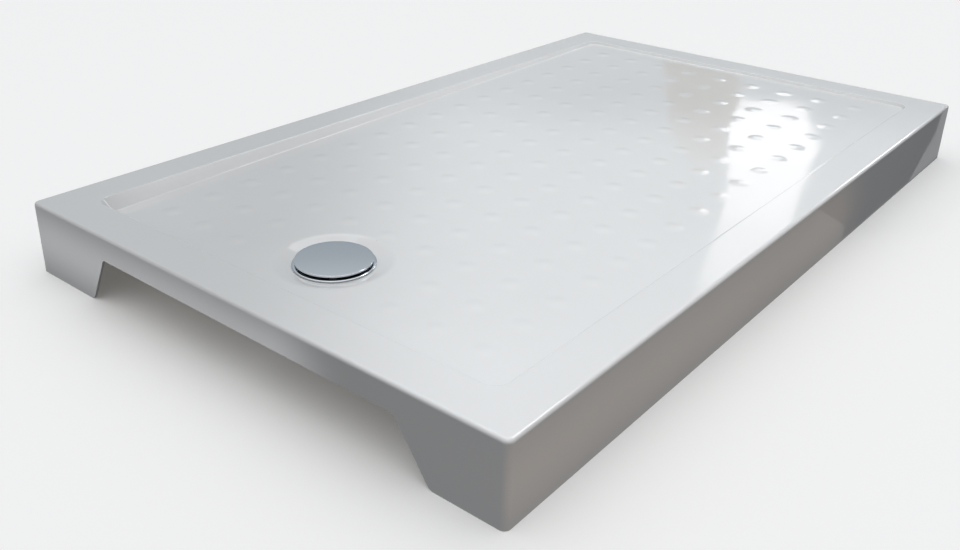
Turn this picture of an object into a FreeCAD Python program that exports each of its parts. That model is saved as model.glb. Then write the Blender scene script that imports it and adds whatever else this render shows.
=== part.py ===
import FreeCAD, Part
import math
import os

# Rectangular acrylic shower tray with a moulded skirt, a pipe notch in its drain end,
# levelling feet and a low waste trap under a round chrome cover.
# Frame: origin on the floor under the tray's centre, +X along the tray away from the drain,
# +Y towards the rear wall, +Z up.  All sizes are in millimetres.

# Tray moulding
TRAY_LENGTH = 1500.0
TRAY_WIDTH = 900.0
TRAY_HEIGHT = 115.0
SHELL_WALL = 4.0
CORNER_RADIUS = 9.0
TOP_EDGE_RADIUS = 5.0
LEAST_CORNER = 1.0

# Rim, step and sloping floor
RIM_WIDTH = 65.0
STEP_DRAFT = 38.0
DEPTH_DRAIN_END = 20.0
DEPTH_FAR_END = 6.0
PAN_CORNER_RADIUS = 22.0
STEP_LIP_RADIUS = 2.5
STEP_FOOT_RADIUS = 3.5

# Anti-slip dots
DOT_PITCH = 76.0
DOT_RADIUS = 17.0
DOT_HEIGHT = 1.0
DOT_BORDER = 64.0

# Pipe notch in the skirt at the drain end, under a band of skirt
NOTCH_BAND = 39.0
FRONT_LEG_FOOT = 105.0
FRONT_LEG_TOP = 158.0
REAR_LEG_FOOT = 140.0
REAR_LEG_TOP = 180.0
NOTCH_TOP_RADIUS = 5.0
LEG_FOOT_RADIUS = 12.0

# Drain dish in the floor
DRAIN_FROM_END = 190.0
DISH_SLOPE_RUN = 22.0
DISH_DROP = 6.0
DRAIN_HOLE_SPARE = 1.5

# Glass-fibre backing, floor board and bearers
LAMINATE = 2.5
LAMINATE_ABOVE_GROUND = 12.0
LAMINATE_NOTCH_MARGIN = 8.0
BOARD_THICKNESS = 12.0
BOARD_INSET = 20.0
BOARD_HOLE_MARGIN = 8.0
BOARD_SLOT_MARGIN = 8.0
BEARER_WIDTH = 45.0
BEARER_LEAST = 22.0
BEARER_END_GAP = 12.0
BEARER_SCREW_LENGTH = 30.0
BEARER_SCREW_BITE = 8.0
BEARER_SCREW_FROM_FOOT = 120.0

# Wood screws
SCREW_RADIUS = 2.0
SCREW_HEAD_RADIUS = 4.0
SCREW_HEAD_HEIGHT = 2.5
SCREW_CLEARANCE = 0.1
SOCKET_RADIUS = 1.5
SOCKET_DEPTH = 1.2

# Levelling feet
FOOT_FROM_SIDE = 200.0
FOOT_FROM_END = 130.0
PLATE_SIZE = 60.0
PLATE_THICKNESS = 4.0
PLATE_CORNER_RADIUS = 6.0
PLATE_SCREW_SPACING = 42.0
PLATE_SCREW_LENGTH = 16.0
BOSS_RADIUS = 12.0
BOSS_HEIGHT = 11.0
STEM_RADIUS = 5.0
STEM_RISE = 10.0
STEM_HOLE_RADIUS = 6.5
THREAD_CLEARANCE = 0.08
LOCK_NUT_FLATS = 17.0
LOCK_NUT_HEIGHT = 8.0
HEX_FLATS = 14.0
HEX_HEIGHT = 6.0
BALL_RADIUS = 6.0
BALL_CLEARANCE = 0.15
BALL_CENTRE = 8.0
NECK_RADIUS = 4.0
NECK_HEIGHT = 2.5
PAD_RADIUS = 25.0
PAD_EDGE = 4.0
PAD_TOP = 11.5
PAD_TOP_RADIUS = 11.0
PAD_TREAD_RADIUS = 18.0
PAD_TREAD_DEPTH = 1.0
FOOT_UP = 8.0
FOOT_HOLE_SPARE = 2.0

# Waste flange and its seals
FLANGE_OVERLAP = 14.0
FLANGE_TO_SEAT_EDGE = 3.0
FLANGE_THICKNESS = 2.0
FLANGE_SEAL = 1.0
THROAT_RADIUS = 40.0
THROAT_WALL = 3.5
THROAT_LENGTH = 22.0
LEDGE_WIDTH = 3.0
LEDGE_THICKNESS = 2.0

# Chrome cover and the carrier that holds it over the flange
COVER_RADIUS = 55.0
COVER_GAP = 3.0
COVER_LIP = 2.5
COVER_DOME = 1.2
COVER_SKIN = 1.2
CARRIER_RADIUS = 51.0
CARRIER_THICKNESS = 1.2
STANDOFF_INNER = 44.0
STANDOFF_OUTER = 50.0
STANDOFF_WIDTH = 9.0
PRONG_WIDTH = 12.0
PRONG_THICKNESS = 2.0
PRONG_GAP = 1.0
PRONG_REACH = 9.0
CARRIER_ARMS = 4
CARRIER_TURN = 45.0

# Trap body, lift-out cup and cup seal
TRAP_GROUND_GAP = 5.0
TRAP_WALL = 3.0
TRAP_RADIUS = 52.0
TRAP_FLANGE_INSET = 1.0
TRAP_FLANGE = 4.0
TRAP_SEAL = 2.0
COLLAR_WALL = 2.9
COLLAR_SPARE = 2.0
CUP_CLEARANCE = 0.4
CUP_WALL = 2.0
CUP_BOWL_DEPTH = 10.0
CUP_TUBE_RADIUS = 26.5
CUP_FOOT_GAP = 7.0
CUP_BAR_WIDTH = 5.0
CUP_BAR_HEIGHT = 4.0
CUP_SEAL_HEIGHT = 2.0
CUP_SEAL_DEPTH = 1.4
CUP_SEAL_GAP = 0.1

# Outlet towards the notch, for a 40 mm waste pipe
PIPE_RADIUS = 20.0
PIPE_FIT = 0.2
PIPE_TOP_GAP = 9.0
OUTLET_BORE = 18.0
OUTLET_BOSS_RADIUS = 27.5
OUTLET_BOSS_REACH = 16.0
UNION_SEAL = 2.0
UNION_COLLAR = 4.0
UNION_COLLAR_RADIUS = 27.0
UNION_NUT_WALL = 5.0
UNION_NUT_GRIP = 9.0
UNION_NUT_LIP = 3.0
NECK_LENGTH = 12.0
TUBE_WALL = 3.5
SOCKET_LENGTH = 34.0
SOCKET_STOP = 3.0
PIPE_NUT_WALL = 5.0
PIPE_NUT_GRIP = 13.0
PIPE_NUT_LIP = 3.0
PIPE_NUT_MOUTH = 0.8
PIPE_SEAL = 3.0
PIPE_SEAL_FIT = 0.35
NUT_RIBS = 12
NUT_RIB_RADIUS = 2.0

# Spare length of the shapes that only cut, and how closely an edge is told from another
CUT_SPARE = 1.0
SAME_PLACE = 0.01
FLOOR_EDGE = 0.5

# Levels and places that follow from the sizes above
HALF_LENGTH = TRAY_LENGTH / 2
HALF_WIDTH = TRAY_WIDTH / 2
NOTCH_HEIGHT = TRAY_HEIGHT - NOTCH_BAND
PAN_HALF_LENGTH = HALF_LENGTH - RIM_WIDTH
PAN_HALF_WIDTH = HALF_WIDTH - RIM_WIDTH
DRAFT_RUN = math.tan(math.radians(STEP_DRAFT))
DRAFT_GROWTH = 1.0 / math.cos(math.radians(STEP_DRAFT))
FLOOR_FALL = (DEPTH_DRAIN_END - DEPTH_FAR_END) / (2 * PAN_HALF_LENGTH)
DRAIN_X = DRAIN_FROM_END - HALF_LENGTH


def floor_z(x, below=0.0):
    """Height of the sloping floor at x, or of a layer that far below its surface."""
    return TRAY_HEIGHT - DEPTH_DRAIN_END + FLOOR_FALL * (x + PAN_HALF_LENGTH) - below


SEAT_Z = floor_z(DRAIN_X) - DISH_DROP
BACKING_DEPTH = SHELL_WALL + LAMINATE
BOARD_BOTTOM_DEPTH = BACKING_DEPTH + BOARD_THICKNESS
BOARD_HALF_LENGTH = PAN_HALF_LENGTH - BOARD_INSET
BOARD_HALF_WIDTH = PAN_HALF_WIDTH - BOARD_INSET
BEARER_HALF_LENGTH = BOARD_HALF_LENGTH - BEARER_END_GAP
BEARER_Z = floor_z(-BEARER_HALF_LENGTH, BOARD_BOTTOM_DEPTH) - BEARER_LEAST
PLATE_Z = BEARER_Z - PLATE_THICKNESS
BOSS_Z = PLATE_Z - BOSS_HEIGHT
LOCK_NUT_Z = BOSS_Z - LOCK_NUT_HEIGHT
STEM_TOP = BEARER_Z + STEM_RISE
FOOT_X = HALF_LENGTH - FOOT_FROM_END
FOOT_ROW = HALF_WIDTH - FOOT_FROM_SIDE
FEET = {
    "front_left": (-FOOT_X, -FOOT_ROW),
    "front_middle": (0.0, -FOOT_ROW),
    "front_right": (FOOT_X, -FOOT_ROW),
    "rear_left": (-FOOT_X, FOOT_ROW),
    "rear_middle": (0.0, FOOT_ROW),
    "rear_right": (FOOT_X, FOOT_ROW),
}
FLANGE_TOP = SEAT_Z + FLANGE_SEAL + FLANGE_THICKNESS
THROAT_OUTER = THROAT_RADIUS + THROAT_WALL
DRAIN_HOLE_RADIUS = THROAT_OUTER + DRAIN_HOLE_SPARE
FLANGE_RADIUS = DRAIN_HOLE_RADIUS + FLANGE_OVERLAP
TRAP_FLANGE_RADIUS = FLANGE_RADIUS - TRAP_FLANGE_INSET
SEAT_RADIUS = FLANGE_RADIUS + FLANGE_TO_SEAT_EDGE
DISH_RADIUS = SEAT_RADIUS + DISH_SLOPE_RUN
THROAT_BOTTOM = FLANGE_TOP - THROAT_LENGTH
LEDGE_TOP = THROAT_BOTTOM + LEDGE_THICKNESS
COVER_LIP_Z = FLANGE_TOP + COVER_GAP
TRAP_TOP = SEAT_Z - BACKING_DEPTH - TRAP_SEAL
TRAP_INNER = TRAP_RADIUS - TRAP_WALL
OUTLET_Z = NOTCH_HEIGHT - PIPE_TOP_GAP - PIPE_RADIUS
BOSS_FACE = TRAP_RADIUS + OUTLET_BOSS_REACH
COLLAR_START = BOSS_FACE + UNION_SEAL
COLLAR_END = COLLAR_START + UNION_COLLAR
SOCKET_START = COLLAR_END + NECK_LENGTH
SOCKET_END = SOCKET_START + SOCKET_LENGTH
SOCKET_RADIUS_IN = PIPE_RADIUS + PIPE_FIT
SOCKET_RADIUS_OUT = SOCKET_RADIUS_IN + TUBE_WALL


# Small building blocks

def point(x, y, z):
    return FreeCAD.Vector(x, y, z)


def polygon_face(points):
    return Part.Face(Part.makePolygon(points + [points[0]]))


def block(low, high):
    size = high - low
    return Part.makeBox(size.x, size.y, size.z, low)


def post(x, y, low, high, radius):
    """Upright cylinder."""
    return Part.makeCylinder(radius, high - low, point(x, y, low))


def turned(profile, x=DRAIN_X, y=0.0):
    """Solid of revolution about an upright axis, from (radius, height) pairs."""
    face = polygon_face([point(x + r, y, z) for r, z in profile])
    return face.revolve(point(x, y, 0), point(0, 0, 1), 360)


def outlet_ring(start, end, inner, outer):
    """Ring around the outlet's axis, from one distance from the drain's centre to another."""
    at = point(DRAIN_X - start, 0, OUTLET_Z)
    ring = Part.makeCylinder(outer, end - start, at, point(-1, 0, 0))
    if inner:
        ring = ring.cut(Part.makeCylinder(inner, end - start, at, point(-1, 0, 0)))
    return ring


def hexagon(x, y, low, high, flats):
    """Upright hexagonal prism with the given width across its flats."""
    corner = flats / math.sqrt(3)
    corners = [
        point(x + corner * math.cos(k * math.pi / 3), y + corner * math.sin(k * math.pi / 3), low)
        for k in range(6)
    ]
    return polygon_face(corners).extrude(point(0, 0, high - low))


def rounded_outline(half_x, half_y, z, radius):
    """Closed wire of a rounded rectangle about the Z axis."""
    flat_x, flat_y = half_x - radius, half_y - radius
    bulge = radius * math.sqrt(0.5)
    arcs = []
    for sx, sy in ((1, -1), (1, 1), (-1, 1), (-1, -1)):
        beside = point(sx * half_x, sy * flat_y, z)
        beyond = point(sx * flat_x, sy * half_y, z)
        middle = point(sx * (flat_x + bulge), sy * (flat_y + bulge), z)
        arcs.append((beyond, middle, beside) if sx * sy < 0 else (beside, middle, beyond))
    edges = []
    for k, arc in enumerate(arcs):
        edges.append(Part.Arc(*arc).toShape())
        edges.append(Part.LineSegment(arc[2], arcs[(k + 1) % 4][0]).toShape())
    return Part.Wire(edges)


def rounded_block(half_x, half_y, low, high, radius):
    """Box about the Z axis with rounded upright edges."""
    outline = rounded_outline(half_x, half_y, low, radius)
    return Part.Face(outline).extrude(point(0, 0, high - low))


def screw(x, y, seat, length):
    """Pan-head wood screw driven upwards, with its head under the seat height."""
    shank = post(x, y, seat, seat + length, SCREW_RADIUS)
    head = post(x, y, seat - SCREW_HEAD_HEIGHT, seat, SCREW_HEAD_RADIUS)
    socket = post(x, y, seat - SCREW_HEAD_HEIGHT, seat - SCREW_HEAD_HEIGHT + SOCKET_DEPTH, SOCKET_RADIUS)
    return shank.fuse(head).cut(socket).removeSplitter()


# Tray moulding

def pan_edge(half, z, skin):
    """Half size or corner radius of the stepped pan at height z, grown outwards by skin."""
    return half + skin * DRAFT_GROWTH - (TRAY_HEIGHT - z) * DRAFT_RUN


def under_floor(skin):
    """Everything in the tray's outline below the sloping floor of a layer skin thick."""
    low = floor_z(-HALF_LENGTH, skin) - CUT_SPARE
    side = [
        point(-HALF_LENGTH, -HALF_WIDTH, low - CUT_SPARE),
        point(HALF_LENGTH, -HALF_WIDTH, low - CUT_SPARE),
        point(HALF_LENGTH, -HALF_WIDTH, floor_z(HALF_LENGTH, skin)),
        point(-HALF_LENGTH, -HALF_WIDTH, floor_z(-HALF_LENGTH, skin)),
    ]
    return polygon_face(side).extrude(point(0, TRAY_WIDTH, 0))


def pan(skin):
    """Space of the stepped pan with its sloping floor, grown downwards and outwards by skin."""
    outlines = []
    for z in (floor_z(-HALF_LENGTH, skin) - CUT_SPARE, TRAY_HEIGHT):
        half_length = pan_edge(PAN_HALF_LENGTH, z, skin)
        half_width = pan_edge(PAN_HALF_WIDTH, z, skin)
        radius = pan_edge(PAN_CORNER_RADIUS, z, skin)
        outlines.append(rounded_outline(half_length, half_width, z, radius))
    return Part.makeLoft(outlines, True, True).cut(under_floor(skin)).Solids[0]


def soften_step(space):
    """Rounds the foot of the step, where the pan's walls meet its floor."""
    low = []
    for e in space.Edges:
        middle = e.valueAt((e.FirstParameter + e.LastParameter) / 2)
        if abs(middle.z - floor_z(middle.x)) < FLOOR_EDGE:
            low.append(e)
    return space.makeFillet(STEP_FOOT_RADIUS, low)


def dish(skin, top):
    """Space of the drain dish, grown by skin: a flat seat with a cone up to the floor."""
    slope = (DISH_RADIUS - SEAT_RADIUS) / DISH_DROP
    low = SEAT_Z - skin
    return Part.makeCone(
        SEAT_RADIUS + skin, SEAT_RADIUS + skin + slope * (top - low), top - low, point(DRAIN_X, 0, low)
    )


def hollow(skin):
    """Space under a layer of the moulding: inside its skirt, under its rim and around its pan."""
    above_dish = floor_z(DRAIN_X + DISH_RADIUS, skin) + CUT_SPARE
    corner = max(CORNER_RADIUS - skin, LEAST_CORNER)
    inside = rounded_block(
        HALF_LENGTH - skin, HALF_WIDTH - skin, -CUT_SPARE, TRAY_HEIGHT - skin, corner
    )
    return inside.cut(pan(skin)).cut(dish(skin, above_dish))


def notch(margin=0.0):
    """Tapered opening for the waste pipe through the skirt at the drain end, grown by margin."""
    top = NOTCH_HEIGHT + margin
    outline = [
        (-HALF_WIDTH + FRONT_LEG_FOOT - margin, 0.0),
        (-HALF_WIDTH + FRONT_LEG_TOP - margin, top),
        (HALF_WIDTH - REAR_LEG_TOP + margin, top),
        (HALF_WIDTH - REAR_LEG_FOOT + margin, 0.0),
    ]
    depth = RIM_WIDTH / 2
    start = -HALF_LENGTH - SHELL_WALL
    face = polygon_face([point(start, y, z) for y, z in outline])
    space = face.extrude(point(depth, 0, 0))
    upper = [
        e for e in space.Edges
        if e.BoundBox.XLength > depth / 2 and abs(e.BoundBox.ZMin - top) < SAME_PLACE
    ]
    space = space.makeFillet(NOTCH_TOP_RADIUS, upper)
    mouth = block(
        point(start, outline[0][0], -CUT_SPARE), point(start + depth, outline[3][0], 0.0)
    )
    return space.fuse(mouth).removeSplitter()


def rounded_legs(shell):
    """Rounds the inner lower corners of the two legs that stand each side of the notch."""
    feet = []
    for e in shell.Edges:
        box = e.BoundBox
        across = box.XLength > SHELL_WALL / 2 and max(box.YLength, box.ZLength) < SAME_PLACE
        if across and abs(box.ZMin) < SAME_PLACE and box.XMax < -HALF_LENGTH + 2 * SHELL_WALL:
            feet.append(e)
    return shell.makeFillet(LEG_FOOT_RADIUS, feet)


def dot_places():
    """Centres of the anti-slip dots: a square grid, left out around the drain dish."""
    places = []
    columns = int((2 * PAN_HALF_LENGTH - 2 * DOT_BORDER) / DOT_PITCH)
    rows = int((2 * PAN_HALF_WIDTH - 2 * DOT_BORDER) / DOT_PITCH)
    for i in range(columns + 1):
        for j in range(rows + 1):
            x = (i - columns / 2) * DOT_PITCH
            y = (j - rows / 2) * DOT_PITCH
            if math.hypot(x - DRAIN_X, y) > DISH_RADIUS + DOT_RADIUS:
                places.append((x, y))
    return places


def dots():
    """Low round caps that stand on the floor, each sunk half the shell's wall into it."""
    sphere = (DOT_RADIUS ** 2 + DOT_HEIGHT ** 2) / (2 * DOT_HEIGHT)
    sink = SHELL_WALL / 2
    root = point(0, 0, -sink)
    rise = [point(DOT_RADIUS, 0, -sink), point(DOT_RADIUS, 0, 0)]
    half = math.asin(DOT_RADIUS / sphere) / 2
    middle = point(sphere * math.sin(half), 0, DOT_HEIGHT - sphere + sphere * math.cos(half))
    crown = point(0, 0, DOT_HEIGHT)
    outline = Part.Wire([
        Part.LineSegment(crown, root).toShape(),
        Part.LineSegment(root, rise[0]).toShape(),
        Part.LineSegment(rise[0], rise[1]).toShape(),
        Part.Arc(rise[1], middle, crown).toShape(),
    ])
    cap = Part.Face(outline).revolve(point(0, 0, 0), point(0, 0, 1), 360)
    cap.rotate(point(0, 0, 0), point(0, 1, 0), -math.degrees(math.atan(FLOOR_FALL)))
    caps = []
    for x, y in dot_places():
        copy = cap.copy()
        copy.translate(point(x, y, floor_z(x)))
        caps.append(copy)
    return caps


def tray_shell():
    """The one-piece acrylic moulding: rim, step, sloping floor, drain dish and skirt."""
    body = rounded_block(HALF_LENGTH, HALF_WIDTH, 0.0, TRAY_HEIGHT, CORNER_RADIUS)
    top_edges = [e for e in body.Edges if e.BoundBox.ZMin > TRAY_HEIGHT - SAME_PLACE]
    body = body.makeFillet(TOP_EDGE_RADIUS, top_edges)
    body = body.cut(soften_step(pan(0.0))).Solids[0]
    lip = []
    for e in body.Edges:
        middle = e.valueAt((e.FirstParameter + e.LastParameter) / 2)
        inside_x = abs(middle.x) < PAN_HALF_LENGTH + SAME_PLACE
        inside_y = abs(middle.y) < PAN_HALF_WIDTH + SAME_PLACE
        if inside_x and inside_y and e.BoundBox.ZMin > TRAY_HEIGHT - SAME_PLACE:
            lip.append(e)
    body = body.makeFillet(STEP_LIP_RADIUS, lip)
    body = body.cut(dish(0.0, floor_z(DRAIN_X + DISH_RADIUS) + CUT_SPARE))
    body = body.fuse(dots())
    body = body.cut(hollow(SHELL_WALL))
    body = body.cut(post(DRAIN_X, 0, 0, TRAY_HEIGHT, DRAIN_HOLE_RADIUS))
    return rounded_legs(body.cut(notch()).Solids[0])


def fibreglass_backing():
    """Glass-fibre laminate sprayed on the back of the moulding, trimmed above the ground."""
    layer = hollow(SHELL_WALL).cut(hollow(BACKING_DEPTH))
    below = block(
        point(-HALF_LENGTH, -HALF_WIDTH, -2 * CUT_SPARE),
        point(HALF_LENGTH, HALF_WIDTH, LAMINATE_ABOVE_GROUND),
    )
    layer = layer.cut(below).cut(notch(LAMINATE_NOTCH_MARGIN))
    return layer.cut(post(DRAIN_X, 0, 0, TRAY_HEIGHT, DRAIN_HOLE_RADIUS)).Solids[0]


# Board and bearers

def sloping_plank(half_length, half_width, top_depth, bottom_z=None, thickness=0.0, y=0.0):
    """Plank whose top follows the floor at a depth; its bottom is parallel, or level at bottom_z."""
    left, right = -half_length, half_length
    depth = top_depth + thickness
    low = [floor_z(x, depth) if bottom_z is None else bottom_z for x in (left, right)]
    side = [
        point(left, y - half_width, low[0]),
        point(right, y - half_width, low[1]),
        point(right, y - half_width, floor_z(right, top_depth)),
        point(left, y - half_width, floor_z(left, top_depth)),
    ]
    return polygon_face(side).extrude(point(0, 2 * half_width, 0))


def bearer_screw_places(y):
    """(x, y, height of the head's seat) of the screws that hold one bearer to the board."""
    places = []
    for x in (-FOOT_X, 0.0, FOOT_X):
        for side in (-1, 1):
            at = x + side * BEARER_SCREW_FROM_FOOT
            if abs(at) < BEARER_HALF_LENGTH - SCREW_HEAD_RADIUS:
                tip = floor_z(at, BOARD_BOTTOM_DEPTH) + BEARER_SCREW_BITE
                places.append((at, y, tip - BEARER_SCREW_LENGTH))
    return places


def plate_screw_places(x, y):
    half = PLATE_SCREW_SPACING / 2
    return [(x + i * half, y + j * half) for i in (-1, 1) for j in (-1, 1)]


def base_board():
    """Timber board laminated under the floor, open around the trap and its outlet."""
    board = sloping_plank(
        BOARD_HALF_LENGTH, BOARD_HALF_WIDTH, BACKING_DEPTH, thickness=BOARD_THICKNESS
    )
    hole = DISH_RADIUS + BACKING_DEPTH + BOARD_HOLE_MARGIN
    half_slot = UNION_COLLAR_RADIUS + UNION_NUT_WALL + BOARD_SLOT_MARGIN
    board = board.cut(post(DRAIN_X, 0, 0, TRAY_HEIGHT, hole))
    board = board.cut(block(point(-HALF_LENGTH, -half_slot, 0), point(DRAIN_X, half_slot, TRAY_HEIGHT)))
    for row in (-FOOT_ROW, FOOT_ROW):
        for x, y, seat in bearer_screw_places(row):
            tip = seat + BEARER_SCREW_LENGTH + SCREW_CLEARANCE
            board = board.cut(post(x, y, seat, tip, SCREW_RADIUS + SCREW_CLEARANCE))
    return board


def bearer(y):
    """Timber bearer along the tray: level below for the feet, tapered above to the board."""
    bar = sloping_plank(
        BEARER_HALF_LENGTH, BEARER_WIDTH / 2, BOARD_BOTTOM_DEPTH, bottom_z=BEARER_Z, y=y
    )
    for x, row, seat in bearer_screw_places(y):
        bar = bar.cut(post(x, row, BEARER_Z, seat, SCREW_HEAD_RADIUS + SCREW_CLEARANCE))
        bar = bar.cut(post(x, row, seat, TRAY_HEIGHT, SCREW_RADIUS + SCREW_CLEARANCE))
    for x, row in FEET.values():
        if row == y:
            top = STEM_TOP + FOOT_UP + FOOT_HOLE_SPARE
            bar = bar.cut(post(x, y, BEARER_Z, top, STEM_HOLE_RADIUS))
            for sx, sy in plate_screw_places(x, y):
                tip = PLATE_Z + PLATE_SCREW_LENGTH + SCREW_CLEARANCE
                bar = bar.cut(post(sx, sy, BEARER_Z, tip, SCREW_RADIUS + SCREW_CLEARANCE))
    return bar


def bearer_screws():
    """Screws that go up through the bearers' counterbores into the board."""
    return [
        screw(x, y, seat, BEARER_SCREW_LENGTH)
        for row in (-FOOT_ROW, FOOT_ROW)
        for x, y, seat in bearer_screw_places(row)
    ]


# Levelling feet

def foot_plate(x, y):
    """Plastic plate under a bearer, with a threaded boss for the foot's stem."""
    half = PLATE_SIZE / 2
    plate = rounded_block(half, half, PLATE_Z, BEARER_Z, PLATE_CORNER_RADIUS)
    plate.translate(point(x, y, 0))
    plate = plate.fuse(post(x, y, BOSS_Z, PLATE_Z, BOSS_RADIUS)).removeSplitter()
    plate = plate.cut(post(x, y, BOSS_Z, BEARER_Z, STEM_RADIUS + THREAD_CLEARANCE))
    for sx, sy in plate_screw_places(x, y):
        plate = plate.cut(post(sx, sy, PLATE_Z, BEARER_Z, SCREW_RADIUS + SCREW_CLEARANCE))
    return plate


def foot_plate_screws():
    return [
        screw(sx, sy, PLATE_Z, PLATE_SCREW_LENGTH)
        for x, y in FEET.values()
        for sx, sy in plate_screw_places(x, y)
    ]


def foot_lock_nuts():
    """Hexagon nuts run up against the plates' bosses to lock the stems."""
    nuts = []
    for x, y in FEET.values():
        nut = hexagon(x, y, LOCK_NUT_Z, BOSS_Z, LOCK_NUT_FLATS)
        nuts.append(nut.cut(post(x, y, LOCK_NUT_Z, BOSS_Z, STEM_RADIUS + THREAD_CLEARANCE)))
    return nuts


def foot_stem(x, y):
    """Screwed steel stem with a hexagon for the spanner and a ball that sits in the pad."""
    hex_z = PAD_TOP + NECK_HEIGHT
    stem = Part.makeSphere(BALL_RADIUS, point(x, y, BALL_CENTRE))
    stem = stem.fuse(post(x, y, BALL_CENTRE, hex_z, NECK_RADIUS))
    stem = stem.fuse(hexagon(x, y, hex_z, hex_z + HEX_HEIGHT, HEX_FLATS))
    return stem.fuse(post(x, y, hex_z + HEX_HEIGHT, STEM_TOP, STEM_RADIUS)).removeSplitter()


def foot_pad(x, y):
    """Round plastic pad with a ball socket and a shallow hollow under its middle."""
    pad = turned(
        [
            (0.0, PAD_TREAD_DEPTH),
            (PAD_TREAD_RADIUS, PAD_TREAD_DEPTH),
            (PAD_TREAD_RADIUS, 0.0),
            (PAD_RADIUS, 0.0),
            (PAD_RADIUS, PAD_EDGE),
            (PAD_TOP_RADIUS, PAD_TOP),
            (0.0, PAD_TOP),
        ],
        x, y,
    )
    return pad.cut(Part.makeSphere(BALL_RADIUS + BALL_CLEARANCE, point(x, y, BALL_CENTRE)))


# Waste: flange, seals, cover and trap

def drain_flange():
    """Chrome ring on the dish's seat, with a threaded throat and a ledge for the cup."""
    under = FLANGE_TOP - FLANGE_THICKNESS
    return turned([
        (THROAT_RADIUS, FLANGE_TOP),
        (FLANGE_RADIUS - FLANGE_THICKNESS / 2, FLANGE_TOP),
        (FLANGE_RADIUS, FLANGE_TOP - FLANGE_THICKNESS / 2),
        (FLANGE_RADIUS, under),
        (THROAT_OUTER, under),
        (THROAT_OUTER, THROAT_BOTTOM),
        (THROAT_RADIUS - LEDGE_WIDTH, THROAT_BOTTOM),
        (THROAT_RADIUS - LEDGE_WIDTH, LEDGE_TOP),
        (THROAT_RADIUS, LEDGE_TOP),
    ])


def washer(inner, outer, low, high):
    return turned([(inner, low), (outer, low), (outer, high), (inner, high)])


def flange_seal():
    """Rubber washer between the flange and the tray's seat."""
    return washer(DRAIN_HOLE_RADIUS, FLANGE_RADIUS - FLANGE_SEAL, SEAT_Z, SEAT_Z + FLANGE_SEAL)


def trap_seal():
    """Rubber washer between the trap's flange and the back of the tray."""
    return washer(DRAIN_HOLE_RADIUS, TRAP_FLANGE_RADIUS, TRAP_TOP, TRAP_TOP + TRAP_SEAL)


def drain_cover():
    """Chrome cap with a turned-down lip and a slightly domed top."""
    top = COVER_LIP_Z + COVER_LIP
    cap = Part.makeCylinder(COVER_RADIUS, COVER_LIP, point(DRAIN_X, 0, COVER_LIP_Z))
    sphere = (COVER_RADIUS ** 2 + COVER_DOME ** 2) / (2 * COVER_DOME)
    ball = Part.makeSphere(sphere, point(DRAIN_X, 0, top + COVER_DOME - sphere))
    crown = ball.common(Part.makeCylinder(COVER_RADIUS, COVER_DOME, point(DRAIN_X, 0, top)))
    cap = cap.fuse(crown).removeSplitter()
    inner = COVER_RADIUS - COVER_SKIN
    return cap.cut(post(DRAIN_X, 0, COVER_LIP_Z, top - COVER_SKIN, inner))


def cover_carrier():
    """Plastic carrier under the cap: a disc, standoffs on the flange and prongs in the throat."""
    disc_top = COVER_LIP_Z + COVER_LIP - COVER_SKIN
    disc_z = disc_top - CARRIER_THICKNESS
    carrier = post(DRAIN_X, 0, disc_z, disc_top, CARRIER_RADIUS)
    prong_out = THROAT_RADIUS - PRONG_GAP
    prong_in = prong_out - PRONG_THICKNESS
    for k in range(CARRIER_ARMS):
        standoff = block(
            point(STANDOFF_INNER, -STANDOFF_WIDTH / 2, FLANGE_TOP),
            point(STANDOFF_OUTER, STANDOFF_WIDTH / 2, disc_z),
        )
        prong = block(
            point(prong_in, -PRONG_WIDTH / 2, FLANGE_TOP - PRONG_REACH),
            point(prong_out, PRONG_WIDTH / 2, disc_z),
        )
        for arm in (standoff, prong):
            arm.rotate(point(0, 0, 0), point(0, 0, 1), CARRIER_TURN + k * 360 / CARRIER_ARMS)
            arm.translate(point(DRAIN_X, 0, 0))
            carrier = carrier.fuse(arm)
    return carrier.removeSplitter()


def trap_body():
    """Round trap with a flange under the tray, a threaded collar and an outlet boss."""
    flange_low = TRAP_TOP - TRAP_FLANGE
    collar_in = THROAT_OUTER + THREAD_CLEARANCE
    collar_low = THROAT_BOTTOM - COLLAR_SPARE
    floor = TRAP_GROUND_GAP + TRAP_WALL
    body = turned([
        (0.0, TRAP_GROUND_GAP),
        (TRAP_RADIUS, TRAP_GROUND_GAP),
        (TRAP_RADIUS, flange_low),
        (TRAP_FLANGE_RADIUS, flange_low),
        (TRAP_FLANGE_RADIUS, TRAP_TOP),
        (collar_in, TRAP_TOP),
        (collar_in, collar_low),
        (collar_in + COLLAR_WALL, collar_low),
        (collar_in + COLLAR_WALL, flange_low),
        (TRAP_INNER, flange_low),
        (TRAP_INNER, floor),
        (0.0, floor),
    ])
    boss = outlet_ring(0.0, BOSS_FACE, 0.0, OUTLET_BOSS_RADIUS)
    boss = boss.cut(post(DRAIN_X, 0, 0, TRAY_HEIGHT, TRAP_RADIUS - TRAP_WALL / 2))
    body = body.fuse(boss)
    return body.cut(outlet_ring(0.0, BOSS_FACE, 0.0, OUTLET_BORE)).removeSplitter()


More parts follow.
